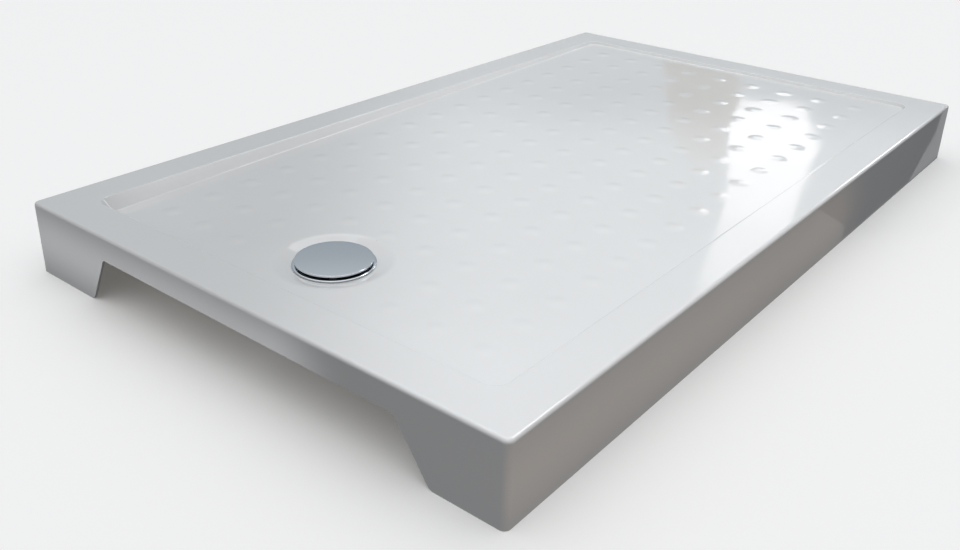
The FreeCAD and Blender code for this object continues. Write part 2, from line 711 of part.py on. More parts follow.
def strainer_cup():
    """Lift-out cup: a bowl on the flange's ledge, a dip tube below it and a bar to pull it by."""
    outer = THROAT_RADIUS - CUP_CLEARANCE
    top = LEDGE_TOP + CUP_BOWL_DEPTH
    foot = TRAP_GROUND_GAP + TRAP_WALL + CUP_FOOT_GAP
    groove = (top + LEDGE_TOP - CUP_SEAL_HEIGHT) / 2
    tube_in = CUP_TUBE_RADIUS - CUP_WALL
    wall = CUP_SEAL_DEPTH + CUP_WALL
    cup = turned([
        (tube_in, foot),
        (CUP_TUBE_RADIUS, foot),
        (CUP_TUBE_RADIUS, LEDGE_TOP),
        (outer, LEDGE_TOP),
        (outer, groove),
        (outer - CUP_SEAL_DEPTH, groove),
        (outer - CUP_SEAL_DEPTH, groove + CUP_SEAL_HEIGHT),
        (outer, groove + CUP_SEAL_HEIGHT),
        (outer, top),
        (outer - wall, top),
        (outer - wall, LEDGE_TOP + CUP_WALL),
        (tube_in, LEDGE_TOP + CUP_WALL),
    ])
    reach = outer - wall / 2
    bar = block(
        point(DRAIN_X - reach, -CUP_BAR_WIDTH / 2, top - CUP_BAR_HEIGHT),
        point(DRAIN_X + reach, CUP_BAR_WIDTH / 2, top),
    )
    return cup.fuse(bar).removeSplitter()


def cup_seal():
    """Rubber ring in the cup's groove, just clear of the throat."""
    outer = THROAT_RADIUS - CUP_CLEARANCE
    low = (2 * LEDGE_TOP + CUP_BOWL_DEPTH - CUP_SEAL_HEIGHT) / 2
    return washer(outer - CUP_SEAL_DEPTH, THROAT_RADIUS - CUP_SEAL_GAP, low, low + CUP_SEAL_HEIGHT)


# Outlet towards the notch

def ribbed_nut(start, end, inner, outer, lip, mouth):
    """Plastic nut with grip ribs, threaded bore and a lip with a smaller mouth at its far end."""
    nut = outlet_ring(start, end, 0.0, outer)
    for k in range(NUT_RIBS):
        turn = 2 * math.pi * k / NUT_RIBS
        at = point(DRAIN_X - start, outer * math.cos(turn), OUTLET_Z + outer * math.sin(turn))
        nut = nut.fuse(Part.makeCylinder(NUT_RIB_RADIUS, end - start, at, point(-1, 0, 0)))
    nut = nut.removeSplitter()
    nut = nut.cut(outlet_ring(start, end - lip, 0.0, inner))
    return nut.cut(outlet_ring(start, end, 0.0, mouth))


def outlet_tube():
    """Tube from the trap: a collar for the union, a neck and a socket for the waste pipe."""
    neck = OUTLET_BORE + TUBE_WALL
    tube = outlet_ring(COLLAR_START, COLLAR_END, 0.0, UNION_COLLAR_RADIUS)
    tube = tube.fuse(outlet_ring(COLLAR_END, SOCKET_START, 0.0, neck))
    tube = tube.fuse(outlet_ring(SOCKET_START - SOCKET_STOP, SOCKET_END, 0.0, SOCKET_RADIUS_OUT))
    tube = tube.removeSplitter().cut(outlet_ring(COLLAR_START, SOCKET_END, 0.0, OUTLET_BORE))
    return tube.cut(outlet_ring(SOCKET_START, SOCKET_END, 0.0, SOCKET_RADIUS_IN))


def union_seal():
    return outlet_ring(BOSS_FACE, COLLAR_START, OUTLET_BORE, UNION_COLLAR_RADIUS)


def union_nut():
    """Nut that draws the outlet tube's collar and seal against the trap's boss."""
    inner = OUTLET_BOSS_RADIUS + THREAD_CLEARANCE
    return ribbed_nut(
        BOSS_FACE - UNION_NUT_GRIP, COLLAR_END + UNION_NUT_LIP,
        inner, inner + UNION_NUT_WALL, UNION_NUT_LIP, SOCKET_RADIUS_OUT + PIPE_FIT,
    )


def pipe_seal():
    return outlet_ring(
        SOCKET_END, SOCKET_END + PIPE_SEAL, PIPE_RADIUS + PIPE_SEAL_FIT, SOCKET_RADIUS_OUT - PIPE_FIT
    )


def pipe_nut():
    """Nut on the socket's end that squeezes the seal onto the waste pipe."""
    inner = SOCKET_RADIUS_OUT + THREAD_CLEARANCE
    return ribbed_nut(
        SOCKET_END - PIPE_NUT_GRIP, SOCKET_END + PIPE_SEAL + PIPE_NUT_LIP,
        inner, inner + PIPE_NUT_WALL, PIPE_NUT_LIP, PIPE_RADIUS + PIPE_NUT_MOUTH,
    )


def pieces():
    """Every sub-part by its name: one solid, or a list of separate solids."""
    made = {
        "tray_shell": tray_shell(),
        "fibreglass_backing": fibreglass_backing(),
        "base_board": base_board(),
        "bearer_front": bearer(-FOOT_ROW),
        "bearer_rear": bearer(FOOT_ROW),
        "bearer_screws": bearer_screws(),
        "foot_plate_screws": foot_plate_screws(),
        "foot_lock_nuts": foot_lock_nuts(),
        "drain_flange": drain_flange(),
        "flange_seal": flange_seal(),
        "drain_cover": drain_cover(),
        "cover_carrier": cover_carrier(),
        "trap_seal": trap_seal(),
        "trap_body": trap_body(),
        "strainer_cup": strainer_cup(),
        "cup_seal": cup_seal(),
        "outlet_tube": outlet_tube(),
        "union_seal": union_seal(),
        "union_nut": union_nut(),
        "pipe_seal": pipe_seal(),
        "pipe_nut": pipe_nut(),
    }
    for place, (x, y) in FEET.items():
        made["foot_plate_" + place] = foot_plate(x, y)
        made["foot_stem_" + place] = foot_stem(x, y)
        made["foot_pad_" + place] = foot_pad(x, y)
    return made


os.makedirs("parts", exist_ok=True)
for name, shape in pieces().items():
    solids = shape if isinstance(shape, list) else [shape]
    whole = Part.makeCompound(solids) if len(solids) > 1 else solids[0]
    whole.exportStep(os.path.join("parts", name + ".step"))
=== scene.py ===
import math

import bmesh
import bpy
from mathutils import Matrix, Vector
from mathutils.geometry import delaunay_2d_cdt


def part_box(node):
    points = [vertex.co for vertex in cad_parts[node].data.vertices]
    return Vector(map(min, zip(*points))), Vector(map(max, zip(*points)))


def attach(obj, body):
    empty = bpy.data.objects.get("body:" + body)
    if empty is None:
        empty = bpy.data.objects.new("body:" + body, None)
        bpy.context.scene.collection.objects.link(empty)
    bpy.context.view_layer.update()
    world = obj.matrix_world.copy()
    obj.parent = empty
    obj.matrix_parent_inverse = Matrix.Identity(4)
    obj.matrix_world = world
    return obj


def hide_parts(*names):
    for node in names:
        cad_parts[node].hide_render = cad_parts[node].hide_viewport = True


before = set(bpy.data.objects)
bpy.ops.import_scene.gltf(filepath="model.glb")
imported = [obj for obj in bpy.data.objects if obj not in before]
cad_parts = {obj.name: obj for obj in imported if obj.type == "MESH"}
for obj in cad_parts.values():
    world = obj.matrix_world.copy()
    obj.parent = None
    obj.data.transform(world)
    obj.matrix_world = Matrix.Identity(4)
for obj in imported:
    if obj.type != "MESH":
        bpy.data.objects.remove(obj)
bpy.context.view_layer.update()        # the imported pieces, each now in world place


# Tray moulding
#
# One sheet of white acrylic, heated and drawn down over a mould: a flat rim, a step, a floor
# that falls to the drain with low round anti-slip dots, a dish for the waste, and a skirt.

HALF_LENGTH, HALF_WIDTH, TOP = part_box("tray_shell")[1]
RIM_WIDTH = 0.065
PAN_HALF_LENGTH = HALF_LENGTH - RIM_WIDTH
PAN_HALF_WIDTH = HALF_WIDTH - RIM_WIDTH
PAN_CORNER = 0.022
STEP_DRAFT = math.radians(38)
LIP_RADIUS = 0.0025
FOOT_RADIUS = 0.0035
DEPTH_DRAIN_END = 0.020
DEPTH_FAR_END = 0.006
EDGE_RADIUS = 0.005
SKIRT_CORNER = 0.009
SHEET = 0.0038
FLAT_STRIP = 0.0012        # beside each rounding, so that its shading ends there
CORNER_STEPS = 8
LONG_SIDE_STEPS = 24
SHORT_SIDE_STEPS = 14
FILLET_STEPS = 6
EDGE_STEPS = 8

DOT_PITCH = 0.076
DOT_COLUMNS = 17
DOT_ROWS = 9
DOT_RADIUS = 0.019
DOT_HEIGHT = 0.0011
DOT_RINGS = 5
DOT_SIDES = 20
DOT_SURROUND = 1.12        # in dot radii: a ring of level floor, where the dot's shading ends

cover_low, cover_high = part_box("drain_cover")
DRAIN_X = (cover_low.x + cover_high.x) / 2
DISH_RADIUS = 0.084
SEAT_RADIUS = 0.062
SEAT_DROP = 0.006
DISH_BLEND = 0.003
HOLE_RADIUS = 0.045
DISH_SIDES = 96
DISH_RINGS = (0.049, 0.053, 0.057, 0.060, 0.063, 0.066, 0.070, 0.075, 0.079, 0.082, 0.085, 0.088,
              0.092)
SAME_POINT = 1e-7

NOTCH_TOP = 0.076
NOTCH_FOOT_FRONT = -HALF_WIDTH + 0.105
NOTCH_HEAD_FRONT = -HALF_WIDTH + 0.158
NOTCH_FOOT_REAR = HALF_WIDTH - 0.140
NOTCH_HEAD_REAR = HALF_WIDTH - 0.180
NOTCH_TOP_RADIUS = 0.005
LEG_RADIUS = 0.012
SHARP_ANGLE = math.radians(35)

ACRYLIC_WHITE = (0.605, 0.615, 0.625)
ACRYLIC_GREY = (0.585, 0.595, 0.605)
ACRYLIC_IOR = 1.49
ACRYLIC_SHINE = (0.05, 0.10)
WAVE_RELIEF = 0.0004
PEEL_RELIEF = 0.000006


def floor_depth(x):
    """How far the floor lies under the rim at x."""
    along = (x + PAN_HALF_LENGTH) / (2 * PAN_HALF_LENGTH)
    return DEPTH_DRAIN_END + (DEPTH_FAR_END - DEPTH_DRAIN_END) * along


SEAT_Z = TOP - floor_depth(DRAIN_X) - SEAT_DROP


def rounded(before, corner, after, radius, steps):
    """Points of the arc that rounds the corner of a flat outline."""
    back = (before - corner).normalized()
    ahead = (after - corner).normalized()
    half = back.angle(ahead) / 2
    centre = corner + (back + ahead).normalized() * radius / math.sin(half)
    first = corner + back * radius / math.tan(half) - centre
    last = corner + ahead * radius / math.tan(half) - centre
    turn = first.angle_signed(last)
    return [centre + Matrix.Rotation(-turn * k / steps, 2) @ first for k in range(steps + 1)]


def step_profile(depth):
    """The step in section: (distance out from the pan's top edge, height from the rim)."""
    foot = Vector((-depth * math.tan(STEP_DRAFT), -depth))
    lip = Vector((0.0, 0.0))
    inward = foot + Vector((-RIM_WIDTH, 0.0))
    outward = Vector((RIM_WIDTH, 0.0))
    points = rounded(inward, foot, lip, FOOT_RADIUS, FILLET_STEPS)
    points += rounded(foot, lip, outward, LIP_RADIUS, FILLET_STEPS)
    return [points[0] - Vector((FLAT_STRIP, 0))] + points + [points[-1] + Vector((FLAT_STRIP, 0))]


def outline(half_x, half_y, radius):
    """Stations round a rounded rectangle, anticlockwise: a point and its outward direction."""
    stations = []
    corners = ((1, -1, SHORT_SIDE_STEPS), (1, 1, LONG_SIDE_STEPS),
               (-1, 1, SHORT_SIDE_STEPS), (-1, -1, LONG_SIDE_STEPS))
    for turn, (side_x, side_y, side_steps) in enumerate(corners):
        centre = Vector((side_x * (half_x - radius), side_y * (half_y - radius)))
        for k in range(CORNER_STEPS + 1):
            angle = math.radians(90 * (turn - 1 + k / CORNER_STEPS))
            out = Vector((math.cos(angle), math.sin(angle)))
            stations.append((centre + out * radius, out))
        end, out = stations[-1]
        along = Vector((-out.y, out.x))
        length = 2 * ((half_y if turn % 2 == 0 else half_x) - radius)
        for k in range(1, side_steps):
            stations.append((end + along * length * k / side_steps, out))
    return stations


def step_rings():
    """The rings of points from the edge of the floor up the step to the rim."""
    rings = []
    for point, out in outline(PAN_HALF_LENGTH, PAN_HALF_WIDTH, PAN_CORNER):
        depth = floor_depth(point.x)
        foot_x = point.x + out.x * step_profile(depth)[0].x
        for k, (outset, rise) in enumerate(step_profile(floor_depth(foot_x))):
            if len(rings) <= k:
                rings.append([])
            place = point + out * outset
            rings[k].append(Vector((place.x, place.y, TOP + rise)))
    return rings


def skirt_rings():
    """The rings from the rim over the rounded outer edge and down to the skirt's foot."""
    rim = Vector((-RIM_WIDTH, 0.0))
    edge = rounded(rim, Vector((0, 0)), Vector((0, -TOP)), EDGE_RADIUS, EDGE_STEPS)
    edge = [edge[0] - Vector((FLAT_STRIP, 0))] + edge + [edge[-1] - Vector((0, FLAT_STRIP))]
    edge.append(Vector((0.0, -TOP)))
    base = outline(HALF_LENGTH, HALF_WIDTH, SKIRT_CORNER)
    return [
        [Vector((p.x + out.x * inset, p.y + out.y * inset, TOP + rise)) for p, out in base]
        for inset, rise in edge
    ]


def dot_centres():
    """The square grid of dots, less those that the dish would cut."""
    centres = []
    for i in range(DOT_COLUMNS):
        for j in range(DOT_ROWS):
            x = (i - (DOT_COLUMNS - 1) / 2) * DOT_PITCH
            y = (j - (DOT_ROWS - 1) / 2) * DOT_PITCH
            if math.hypot(x - DRAIN_X, y) > DISH_RADIUS + DOT_RADIUS:
                centres.append(Vector((x, y)))
    return centres


def eased_slope(distance, blend):
    """Zero before 0 and equal to the distance after it, eased over a blend each side."""
    if distance <= -blend:
        return 0.0
    if distance >= blend:
        return distance
    return (distance + blend) ** 2 / (4 * blend)


def dish_z(x, y):
    """Height of the floor round the drain: a level seat, then a slope up to the floor."""
    reach = math.hypot(x - DRAIN_X, y)
    climb = eased_slope(reach - SEAT_RADIUS, DISH_BLEND)
    climb -= eased_slope(reach - DISH_RADIUS, DISH_BLEND)
    share = climb / (DISH_RADIUS - SEAT_RADIUS)
    return SEAT_Z + (TOP - floor_depth(x) - SEAT_Z) * share


def ring_of(centre, radius, sides, turn=0.0):
    """Points round a circle, turned by a share of the angle between two of them."""
    angles = [2 * math.pi * (k + turn) / sides for k in range(sides)]
    return [centre + radius * Vector((math.cos(a), math.sin(a))) for a in angles]


def floor_points(edge_ring):
    """Points of the floor, with the loops that bound it: its outer edge and the drain's hole."""
    points = list(edge_ring)
    drain = Vector((DRAIN_X, 0.0))
    hole = ring_of(drain, HOLE_RADIUS, DISH_SIDES)
    first = len(points)
    points += [Vector((p.x, p.y, dish_z(p.x, p.y))) for p in hole]
    loops = []
    for start, count in ((0, first), (first, DISH_SIDES)):
        loops += [(start + k, start + (k + 1) % count) for k in range(count)]
    for k, radius in enumerate(DISH_RINGS):
        for p in ring_of(drain, radius, DISH_SIDES, 0.5 * (k % 2 == 0)):
            points.append(Vector((p.x, p.y, dish_z(p.x, p.y))))
    for centre in dot_centres():
        points.append(Vector((centre.x, centre.y, TOP - floor_depth(centre.x) + DOT_HEIGHT)))
        shares = [(k + 1) / DOT_RINGS for k in range(DOT_RINGS)] + [DOT_SURROUND]
        for ring, share in enumerate(shares):
            rise = DOT_HEIGHT * (1 - min(share, 1) ** 2) ** 2
            for p in ring_of(centre, DOT_RADIUS * share, DOT_SIDES, 0.5 * (ring % 2 == 0)):
                points.append(Vector((p.x, p.y, TOP - floor_depth(p.x) + rise)))
    return points, loops


def floor_faces(points, loops):
    """Triangles between the floor's points, left open over the drain's hole."""
    flat = [Vector((p.x, p.y)) for p in points]
    within_loops = 1
    _, _, triangles, sources, _, _ = delaunay_2d_cdt(flat, loops, [], within_loops, SAME_POINT)
    hole_sides = HOLE_RADIUS * math.cos(math.pi / DISH_SIDES)
    faces = []
    for triangle in triangles:
        corners = [sources[k][0] for k in triangle]
        centre = sum((flat[k] for k in corners), Vector((0, 0))) / len(corners)
        if (centre - Vector((DRAIN_X, 0))).length > hole_sides:
            faces.append(corners)
    return faces


def notch_outline():
    """The notched lower edge of the skirt's drain end, from its rear corner to its front one."""
    rear = Vector((HALF_WIDTH - SKIRT_CORNER, 0.0))
    front = Vector((-HALF_WIDTH + SKIRT_CORNER, 0.0))
    corners = [
        rear,
        Vector((NOTCH_FOOT_REAR, 0.0)),
        Vector((NOTCH_HEAD_REAR, NOTCH_TOP)),
        Vector((NOTCH_HEAD_FRONT, NOTCH_TOP)),
        Vector((NOTCH_FOOT_FRONT, 0.0)),
        front,
    ]
    radii = [LEG_RADIUS, NOTCH_TOP_RADIUS, NOTCH_TOP_RADIUS, LEG_RADIUS]
    points = []
    for k, radius in enumerate(radii):
        points += rounded(corners[k], corners[k + 1], corners[k + 2], radius, FILLET_STEPS)
    return [Vector((-HALF_LENGTH, y, z)) for y, z in points]


def mark_sharp(mesh):
    """Smooth shading, with edges that turn more than the sharp angle kept sharp."""
    bm = bmesh.new()
    bm.from_mesh(mesh)
    for face in bm.faces:
        face.smooth = True
    for edge in bm.edges:
        edge.smooth = len(edge.link_faces) != 2 or edge.calc_face_angle(0.0) < SHARP_ANGLE
    bm.to_mesh(mesh)
    bm.free()


def piece(name, mesh, material):
    """An object at the origin that shows the mesh in the material."""
    mesh.name = name
    mesh.materials.clear()
    mesh.materials.append(material)
    made = bpy.data.objects.new(name, mesh)
    bpy.context.scene.collection.objects.link(made)
    return made


def baked(made):
    """Replaces an object's mesh and modifiers by the mesh that they give."""
    evaluated = made.evaluated_get(bpy.context.evaluated_depsgraph_get())
    mesh = bpy.data.meshes.new_from_object(evaluated)
    made.modifiers.clear()
    made.data = mesh
    return made


def shader(name, colour, roughness, metallic=0.0):
    """A new material: its nodes, its links and its main shader."""
    material = bpy.data.materials.new(name)
    material.use_nodes = True
    nodes = material.node_tree.nodes
    main = nodes["Principled BSDF"]
    main.inputs["Base Color"].default_value = (*colour, 1.0)
    main.inputs["Roughness"].default_value = roughness
    main.inputs["Metallic"].default_value = metallic
    return material, nodes, material.node_tree.links, main


def noise(nodes, links, scale, detail=3.0, stretch=(1, 1, 1)):
    """Noise on object coordinates, with so many waves a metre along each axis."""
    place = nodes.new("ShaderNodeTexCoord")
    turn = nodes.new("ShaderNodeMapping")
    turn.inputs["Scale"].default_value = stretch
    pattern = nodes.new("ShaderNodeTexNoise")
    pattern.inputs["Scale"].default_value = scale
    pattern.inputs["Detail"].default_value = detail
    links.new(place.outputs["Object"], turn.inputs["Vector"])
    links.new(turn.outputs["Vector"], pattern.inputs["Vector"])
    return pattern.outputs["Fac"]


def between(nodes, links, source, low, high, source_low=0.3, source_high=0.7):
    """The source, from one limit to the other, spread between two values or two colours."""
    if isinstance(low, tuple):
        ramp = nodes.new("ShaderNodeValToRGB")
        ramp.color_ramp.elements[0].position = source_low
        ramp.color_ramp.elements[1].position = source_high
        ramp.color_ramp.elements[0].color = (*low, 1.0)
        ramp.color_ramp.elements[1].color = (*high, 1.0)
        links.new(source, ramp.inputs["Fac"])
        return ramp.outputs["Color"]
    spread = nodes.new("ShaderNodeMapRange")
    spread.inputs["From Min"].default_value = source_low
    spread.inputs["From Max"].default_value = source_high
    spread.inputs["To Min"].default_value = low
    spread.inputs["To Max"].default_value = high
    links.new(source, spread.inputs["Value"])
    return spread.outputs["Result"]


def bump(nodes, links, height, distance, under=None):
    """A bump of so many metres of relief, on top of another bump if one is given."""
    relief = nodes.new("ShaderNodeBump")
    relief.inputs["Distance"].default_value = distance
    relief.inputs["Strength"].default_value = 1.0
    links.new(height, relief.inputs["Height"])
    if under is not None:
        links.new(under, relief.inputs["Normal"])
    return relief.outputs["Normal"]


def acrylic_material():
    """Gloss white sheet with the faint waves of a drawn moulding and a little use on its shine."""
    material, nodes, links, main = shader("acrylic", ACRYLIC_WHITE, 0.08)
    main.inputs["IOR"].default_value = ACRYLIC_IOR
    tone = between(nodes, links, noise(nodes, links, 3.0), ACRYLIC_GREY, ACRYLIC_WHITE)
    links.new(tone, main.inputs["Base Color"])
    shine = between(nodes, links, noise(nodes, links, 14.0, 6.0), *ACRYLIC_SHINE)
    links.new(shine, main.inputs["Roughness"])
    waves = bump(nodes, links, noise(nodes, links, 9.0, 1.0), WAVE_RELIEF)
    peel = bump(nodes, links, noise(nodes, links, 160.0, 2.0), PEEL_RELIEF, waves)
    links.new(peel, main.inputs["Normal"])
    return material


def tray_mesh():
    """The moulding's outer side: floor, step, rim and skirt, with the notched face at the drain."""
    bm = bmesh.new()
    rings = step_rings() + skirt_rings()
    points, loops = floor_points(rings[0])
    floor = [bm.verts.new(p) for p in points]
    for corners in floor_faces(points, loops):
        bm.faces.new([floor[k] for k in corners])
    count = len(rings[0])
    made = [floor[:count]] + [[bm.verts.new(p) for p in ring] for ring in rings[1:]]
    first = 3 * CORNER_STEPS + SHORT_SIDE_STEPS + LONG_SIDE_STEPS
    drain_end = list(range(first, first + SHORT_SIDE_STEPS))
    for ring in range(len(made) - 1):
        for k in range(count):
            n = (k + 1) % count
            if ring == len(made) - 2 and k in drain_end:
                continue
            bm.faces.new((made[ring][k], made[ring + 1][k], made[ring + 1][n], made[ring][n]))
    last = drain_end[-1] + 1
    upper = [made[-2][k] for k in drain_end + [last]]
    for k in drain_end[1:]:
        bm.verts.remove(made[-1][k])
    lower = [bm.verts.new(p) for p in notch_outline()]
    bm.faces.new(upper[::-1] + [made[-1][first]] + lower + [made[-1][last]])
    mesh = bpy.data.meshes.new("tray")
    bm.to_mesh(mesh)
    bm.free()
    return mesh


tray = piece("tray_moulding", tray_mesh(), acrylic_material())
wall = tray.modifiers.new("sheet", "SOLIDIFY")
wall.thickness = SHEET
wall.offset = -1.0
wall.use_even_offset = True
baked(tray)
mark_sharp(tray.data)
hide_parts("tray_shell")
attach(tray, "tray")


# Glass-fibre backing
#
# Chopped strands and resin sprayed on the back of the acrylic and rolled down by hand, left
# rough and yellowish, and trimmed a little above the ground.

LAMINATE_PALE = (0.52, 0.50, 0.40)
LAMINATE_DARK = (0.36, 0.33, 0.24)
LAMINATE_SHINE = (0.3, 0.65)
STRANDS_A_METRE = 260.0
STRAND_STRETCH = 0.18
STRAND_RELIEF = 0.0008
LUMP_RELIEF = 0.0015


def laminate_material():
    """A mat of strands that lie both ways, under resin that was rolled out unevenly."""
    material, nodes, links, main = shader("laminate", LAMINATE_PALE, 0.5)
    along = noise(nodes, links, STRANDS_A_METRE, 4.0, (1.0, STRAND_STRETCH, 1.0))
    across = noise(nodes, links, STRANDS_A_METRE, 4.0, (STRAND_STRETCH, 1.0, 1.0))
    mat = nodes.new("ShaderNodeMath")
    mat.operation = "MAXIMUM"
    links.new(along, mat.inputs[0])
    links.new(across, mat.inputs[1])
    tone = between(nodes, links, mat.outputs[0], LAMINATE_DARK, LAMINATE_PALE, 0.4, 0.75)
    links.new(tone, main.inputs["Base Color"])
    shine = between(nodes, links, noise(nodes, links, 30.0), *LAMINATE_SHINE)
    links.new(shine, main.inputs["Roughness"])
    lumps = bump(nodes, links, noise(nodes, links, 40.0), LUMP_RELIEF)
    links.new(bump(nodes, links, mat.outputs[0], STRAND_RELIEF, lumps), main.inputs["Normal"])
    return material


def dress(node, material):
    """Gives a piece of the frame, whose shape is right already, its material."""
    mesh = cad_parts[node].data
    mesh.materials.clear()
    mesh.materials.append(material)


dress("fibreglass_backing", laminate_material())


# Floor board and bearers
#
# A board of pressed wood chips laminated under the floor, and two planed softwood bearers,
# level below for the feet and planed to a slope above.

CHIP_PALE = (0.56, 0.40, 0.23)
CHIP_DARK = (0.30, 0.19, 0.09)
CHIPS_A_METRE = 260.0
CHIP_RELIEF = 0.0003
SANDED_RELIEF = 0.0002
PINE_PALE = (0.62, 0.43, 0.23)
PINE_DARK = (0.42, 0.25, 0.11)
PINE_SHINE = (0.5, 0.75)
PINE_STRETCH = 0.06
RINGS_SCALE = 55.0
FIBRE_STRETCH = 0.02
FIBRE_RELIEF = 0.0003


def chipboard_material():
    """Chips of many tones, each at its own slight height."""
    material, nodes, links, main = shader("chipboard", CHIP_PALE, 0.85)
    place = nodes.new("ShaderNodeTexCoord")
    chips = nodes.new("ShaderNodeTexVoronoi")
    chips.inputs["Scale"].default_value = CHIPS_A_METRE
    chips.inputs["Randomness"].default_value = 1.0
    links.new(place.outputs["Object"], chips.inputs["Vector"])
    split = nodes.new("ShaderNodeSeparateColor")
    links.new(chips.outputs["Color"], split.inputs["Color"])
    tone = between(nodes, links, split.outputs["Red"], CHIP_DARK, CHIP_PALE, 0.0, 0.8)
    links.new(tone, main.inputs["Base Color"])
    relief = bump(nodes, links, split.outputs["Green"], CHIP_RELIEF)
    sanded = bump(nodes, links, noise(nodes, links, 900.0), SANDED_RELIEF, relief)
    links.new(sanded, main.inputs["Normal"])
    return material


def pine_material():
    """Year rings about the bearer's length, drawn out along it, and fine open fibre."""
    material, nodes, links, main = shader("planed_pine", PINE_PALE, 0.6)
    place = nodes.new("ShaderNodeTexCoord")
    squeeze = nodes.new("ShaderNodeMapping")
    squeeze.inputs["Scale"].default_value = (PINE_STRETCH, 1.0, 1.0)
    rings = nodes.new("ShaderNodeTexWave")
    rings.wave_type = "RINGS"
    rings.rings_direction = "X"
    rings.inputs["Scale"].default_value = RINGS_SCALE
    rings.inputs["Distortion"].default_value = 5.0
    rings.inputs["Detail"].default_value = 3.0
    links.new(place.outputs["Object"], squeeze.inputs["Vector"])
    links.new(squeeze.outputs["Vector"], rings.inputs["Vector"])
    tone = between(nodes, links, rings.outputs["Fac"], PINE_PALE, PINE_DARK, 0.2, 0.95)
    links.new(tone, main.inputs["Base Color"])
    fibre = noise(nodes, links, 900.0, 3.0, (FIBRE_STRETCH, 1.0, 1.0))
    shine = between(nodes, links, fibre, *PINE_SHINE)
    links.new(shine, main.inputs["Roughness"])
    links.new(bump(nodes, links, fibre, FIBRE_RELIEF), main.inputs["Normal"])
    return material


dress("base_board", chipboard_material())
pine = pine_material()
dress("bearer_front", pine)
dress("bearer_rear", pine)


# Screws
#
# Zinc-plated pan-head wood screws with a cross recess, driven up through the bearers and the
# foot plates, each stopped at whatever turn it went tight.

SCREW_RADIUS = 0.0020
SCREW_CORE = 0.0014
SCREW_HEAD_RADIUS = 0.0040
SCREW_HEAD_HEIGHT = 0.0025
SCREW_HEAD_CURVE = ((0.45, 0.97), (0.75, 0.82), (0.95, 0.50), (1.0, 0.18), (0.97, 0.0))
SCREW_SHANK = 0.82        # of the length, above which the point begins
SCREW_TURNS = 7
SCREW_SIDES = 20
RIDGE_START, RIDGE_END = 0.35, 0.65        # of a turn of the thread
CROSS_REACH = 0.0019
CROSS_WIDTH = 0.0008
CROSS_DEPTH = 0.0012
PLATE_SCREW_LENGTH = 0.016
PLATE_SCREW_SPACING = 0.042
PLACES = ("front_left", "front_middle", "front_right", "rear_left", "rear_middle", "rear_right")

ZINC_PALE = (0.66, 0.67, 0.68)
ZINC_BLUE = (0.50, 0.53, 0.58)
ZINC_SHINE = (0.22, 0.45)
ZINC_RELIEF = 0.00003


def lathe(profile, sides, centre=(0.0, 0.0), closed=False):
    """A mesh turned about an upright axis from (radius, height) pairs, given from the bottom up."""
    x, y = centre
    bm = bmesh.new()
    rings = []
    for radius, height in profile:
        count = 1 if radius == 0.0 else sides
        angles = [2 * math.pi * k / sides for k in range(count)]
        rings.append([
            bm.verts.new((x + radius * math.cos(a), y + radius * math.sin(a), height))
            for a in angles
        ])
    pairs = list(zip(rings, rings[1:]))
    if closed:
        pairs.append((rings[-1], rings[0]))
    for low, high in pairs:
        for k in range(sides):
            n = (k + 1) % sides
            corners = (low[k % len(low)], low[n % len(low)],
                       high[n % len(high)], high[k % len(high)])
            bm.faces.new(list(dict.fromkeys(corners)))
    mesh = bpy.data.meshes.new("turned")
    bm.to_mesh(mesh)
    bm.free()
    mark_sharp(mesh)
    return mesh


def screw_mesh(length):
    """A screw with its seat at the origin, its point up and its head below."""
    profile = [(0.0, -SCREW_HEAD_HEIGHT)]
    for outward, downward in SCREW_HEAD_CURVE:
        profile.append((SCREW_HEAD_RADIUS * outward, -SCREW_HEAD_HEIGHT * downward))
    profile.append((SCREW_CORE, 0.0))
    shank = length * SCREW_SHANK
    pitch = shank / SCREW_TURNS
    for k in range(SCREW_TURNS):
        profile += [(SCREW_CORE, pitch * (k + RIDGE_START)), (SCREW_RADIUS, pitch * (k + 0.5)),
                    (SCREW_CORE, pitch * (k + RIDGE_END))]
    profile += [(SCREW_CORE, shank), (0.0, length)]
    mesh = lathe(profile, SCREW_SIDES)
    body = bpy.data.objects.new("screw", mesh)
    bpy.context.scene.collection.objects.link(body)
    cross = bmesh.new()
    for reach_x, reach_y in ((CROSS_REACH, CROSS_WIDTH / 2), (CROSS_WIDTH / 2, CROSS_REACH)):
        arm = bmesh.ops.create_cube(cross, size=2.0)["verts"]
        bmesh.ops.scale(cross, vec=(reach_x, reach_y, CROSS_DEPTH), verts=arm)
    bmesh.ops.translate(cross, vec=(0, 0, -SCREW_HEAD_HEIGHT), verts=cross.verts)
    recess_mesh = bpy.data.meshes.new("cross")
    cross.to_mesh(recess_mesh)
    cross.free()
    recess = bpy.data.objects.new("cross", recess_mesh)
    bpy.context.scene.collection.objects.link(recess)
    cut = body.modifiers.new("recess", "BOOLEAN")
    cut.operation = "DIFFERENCE"
    cut.object = recess
    cut.use_self = True
    baked(body)
    bpy.data.objects.remove(recess)
    mark_sharp(body.data)
    return body


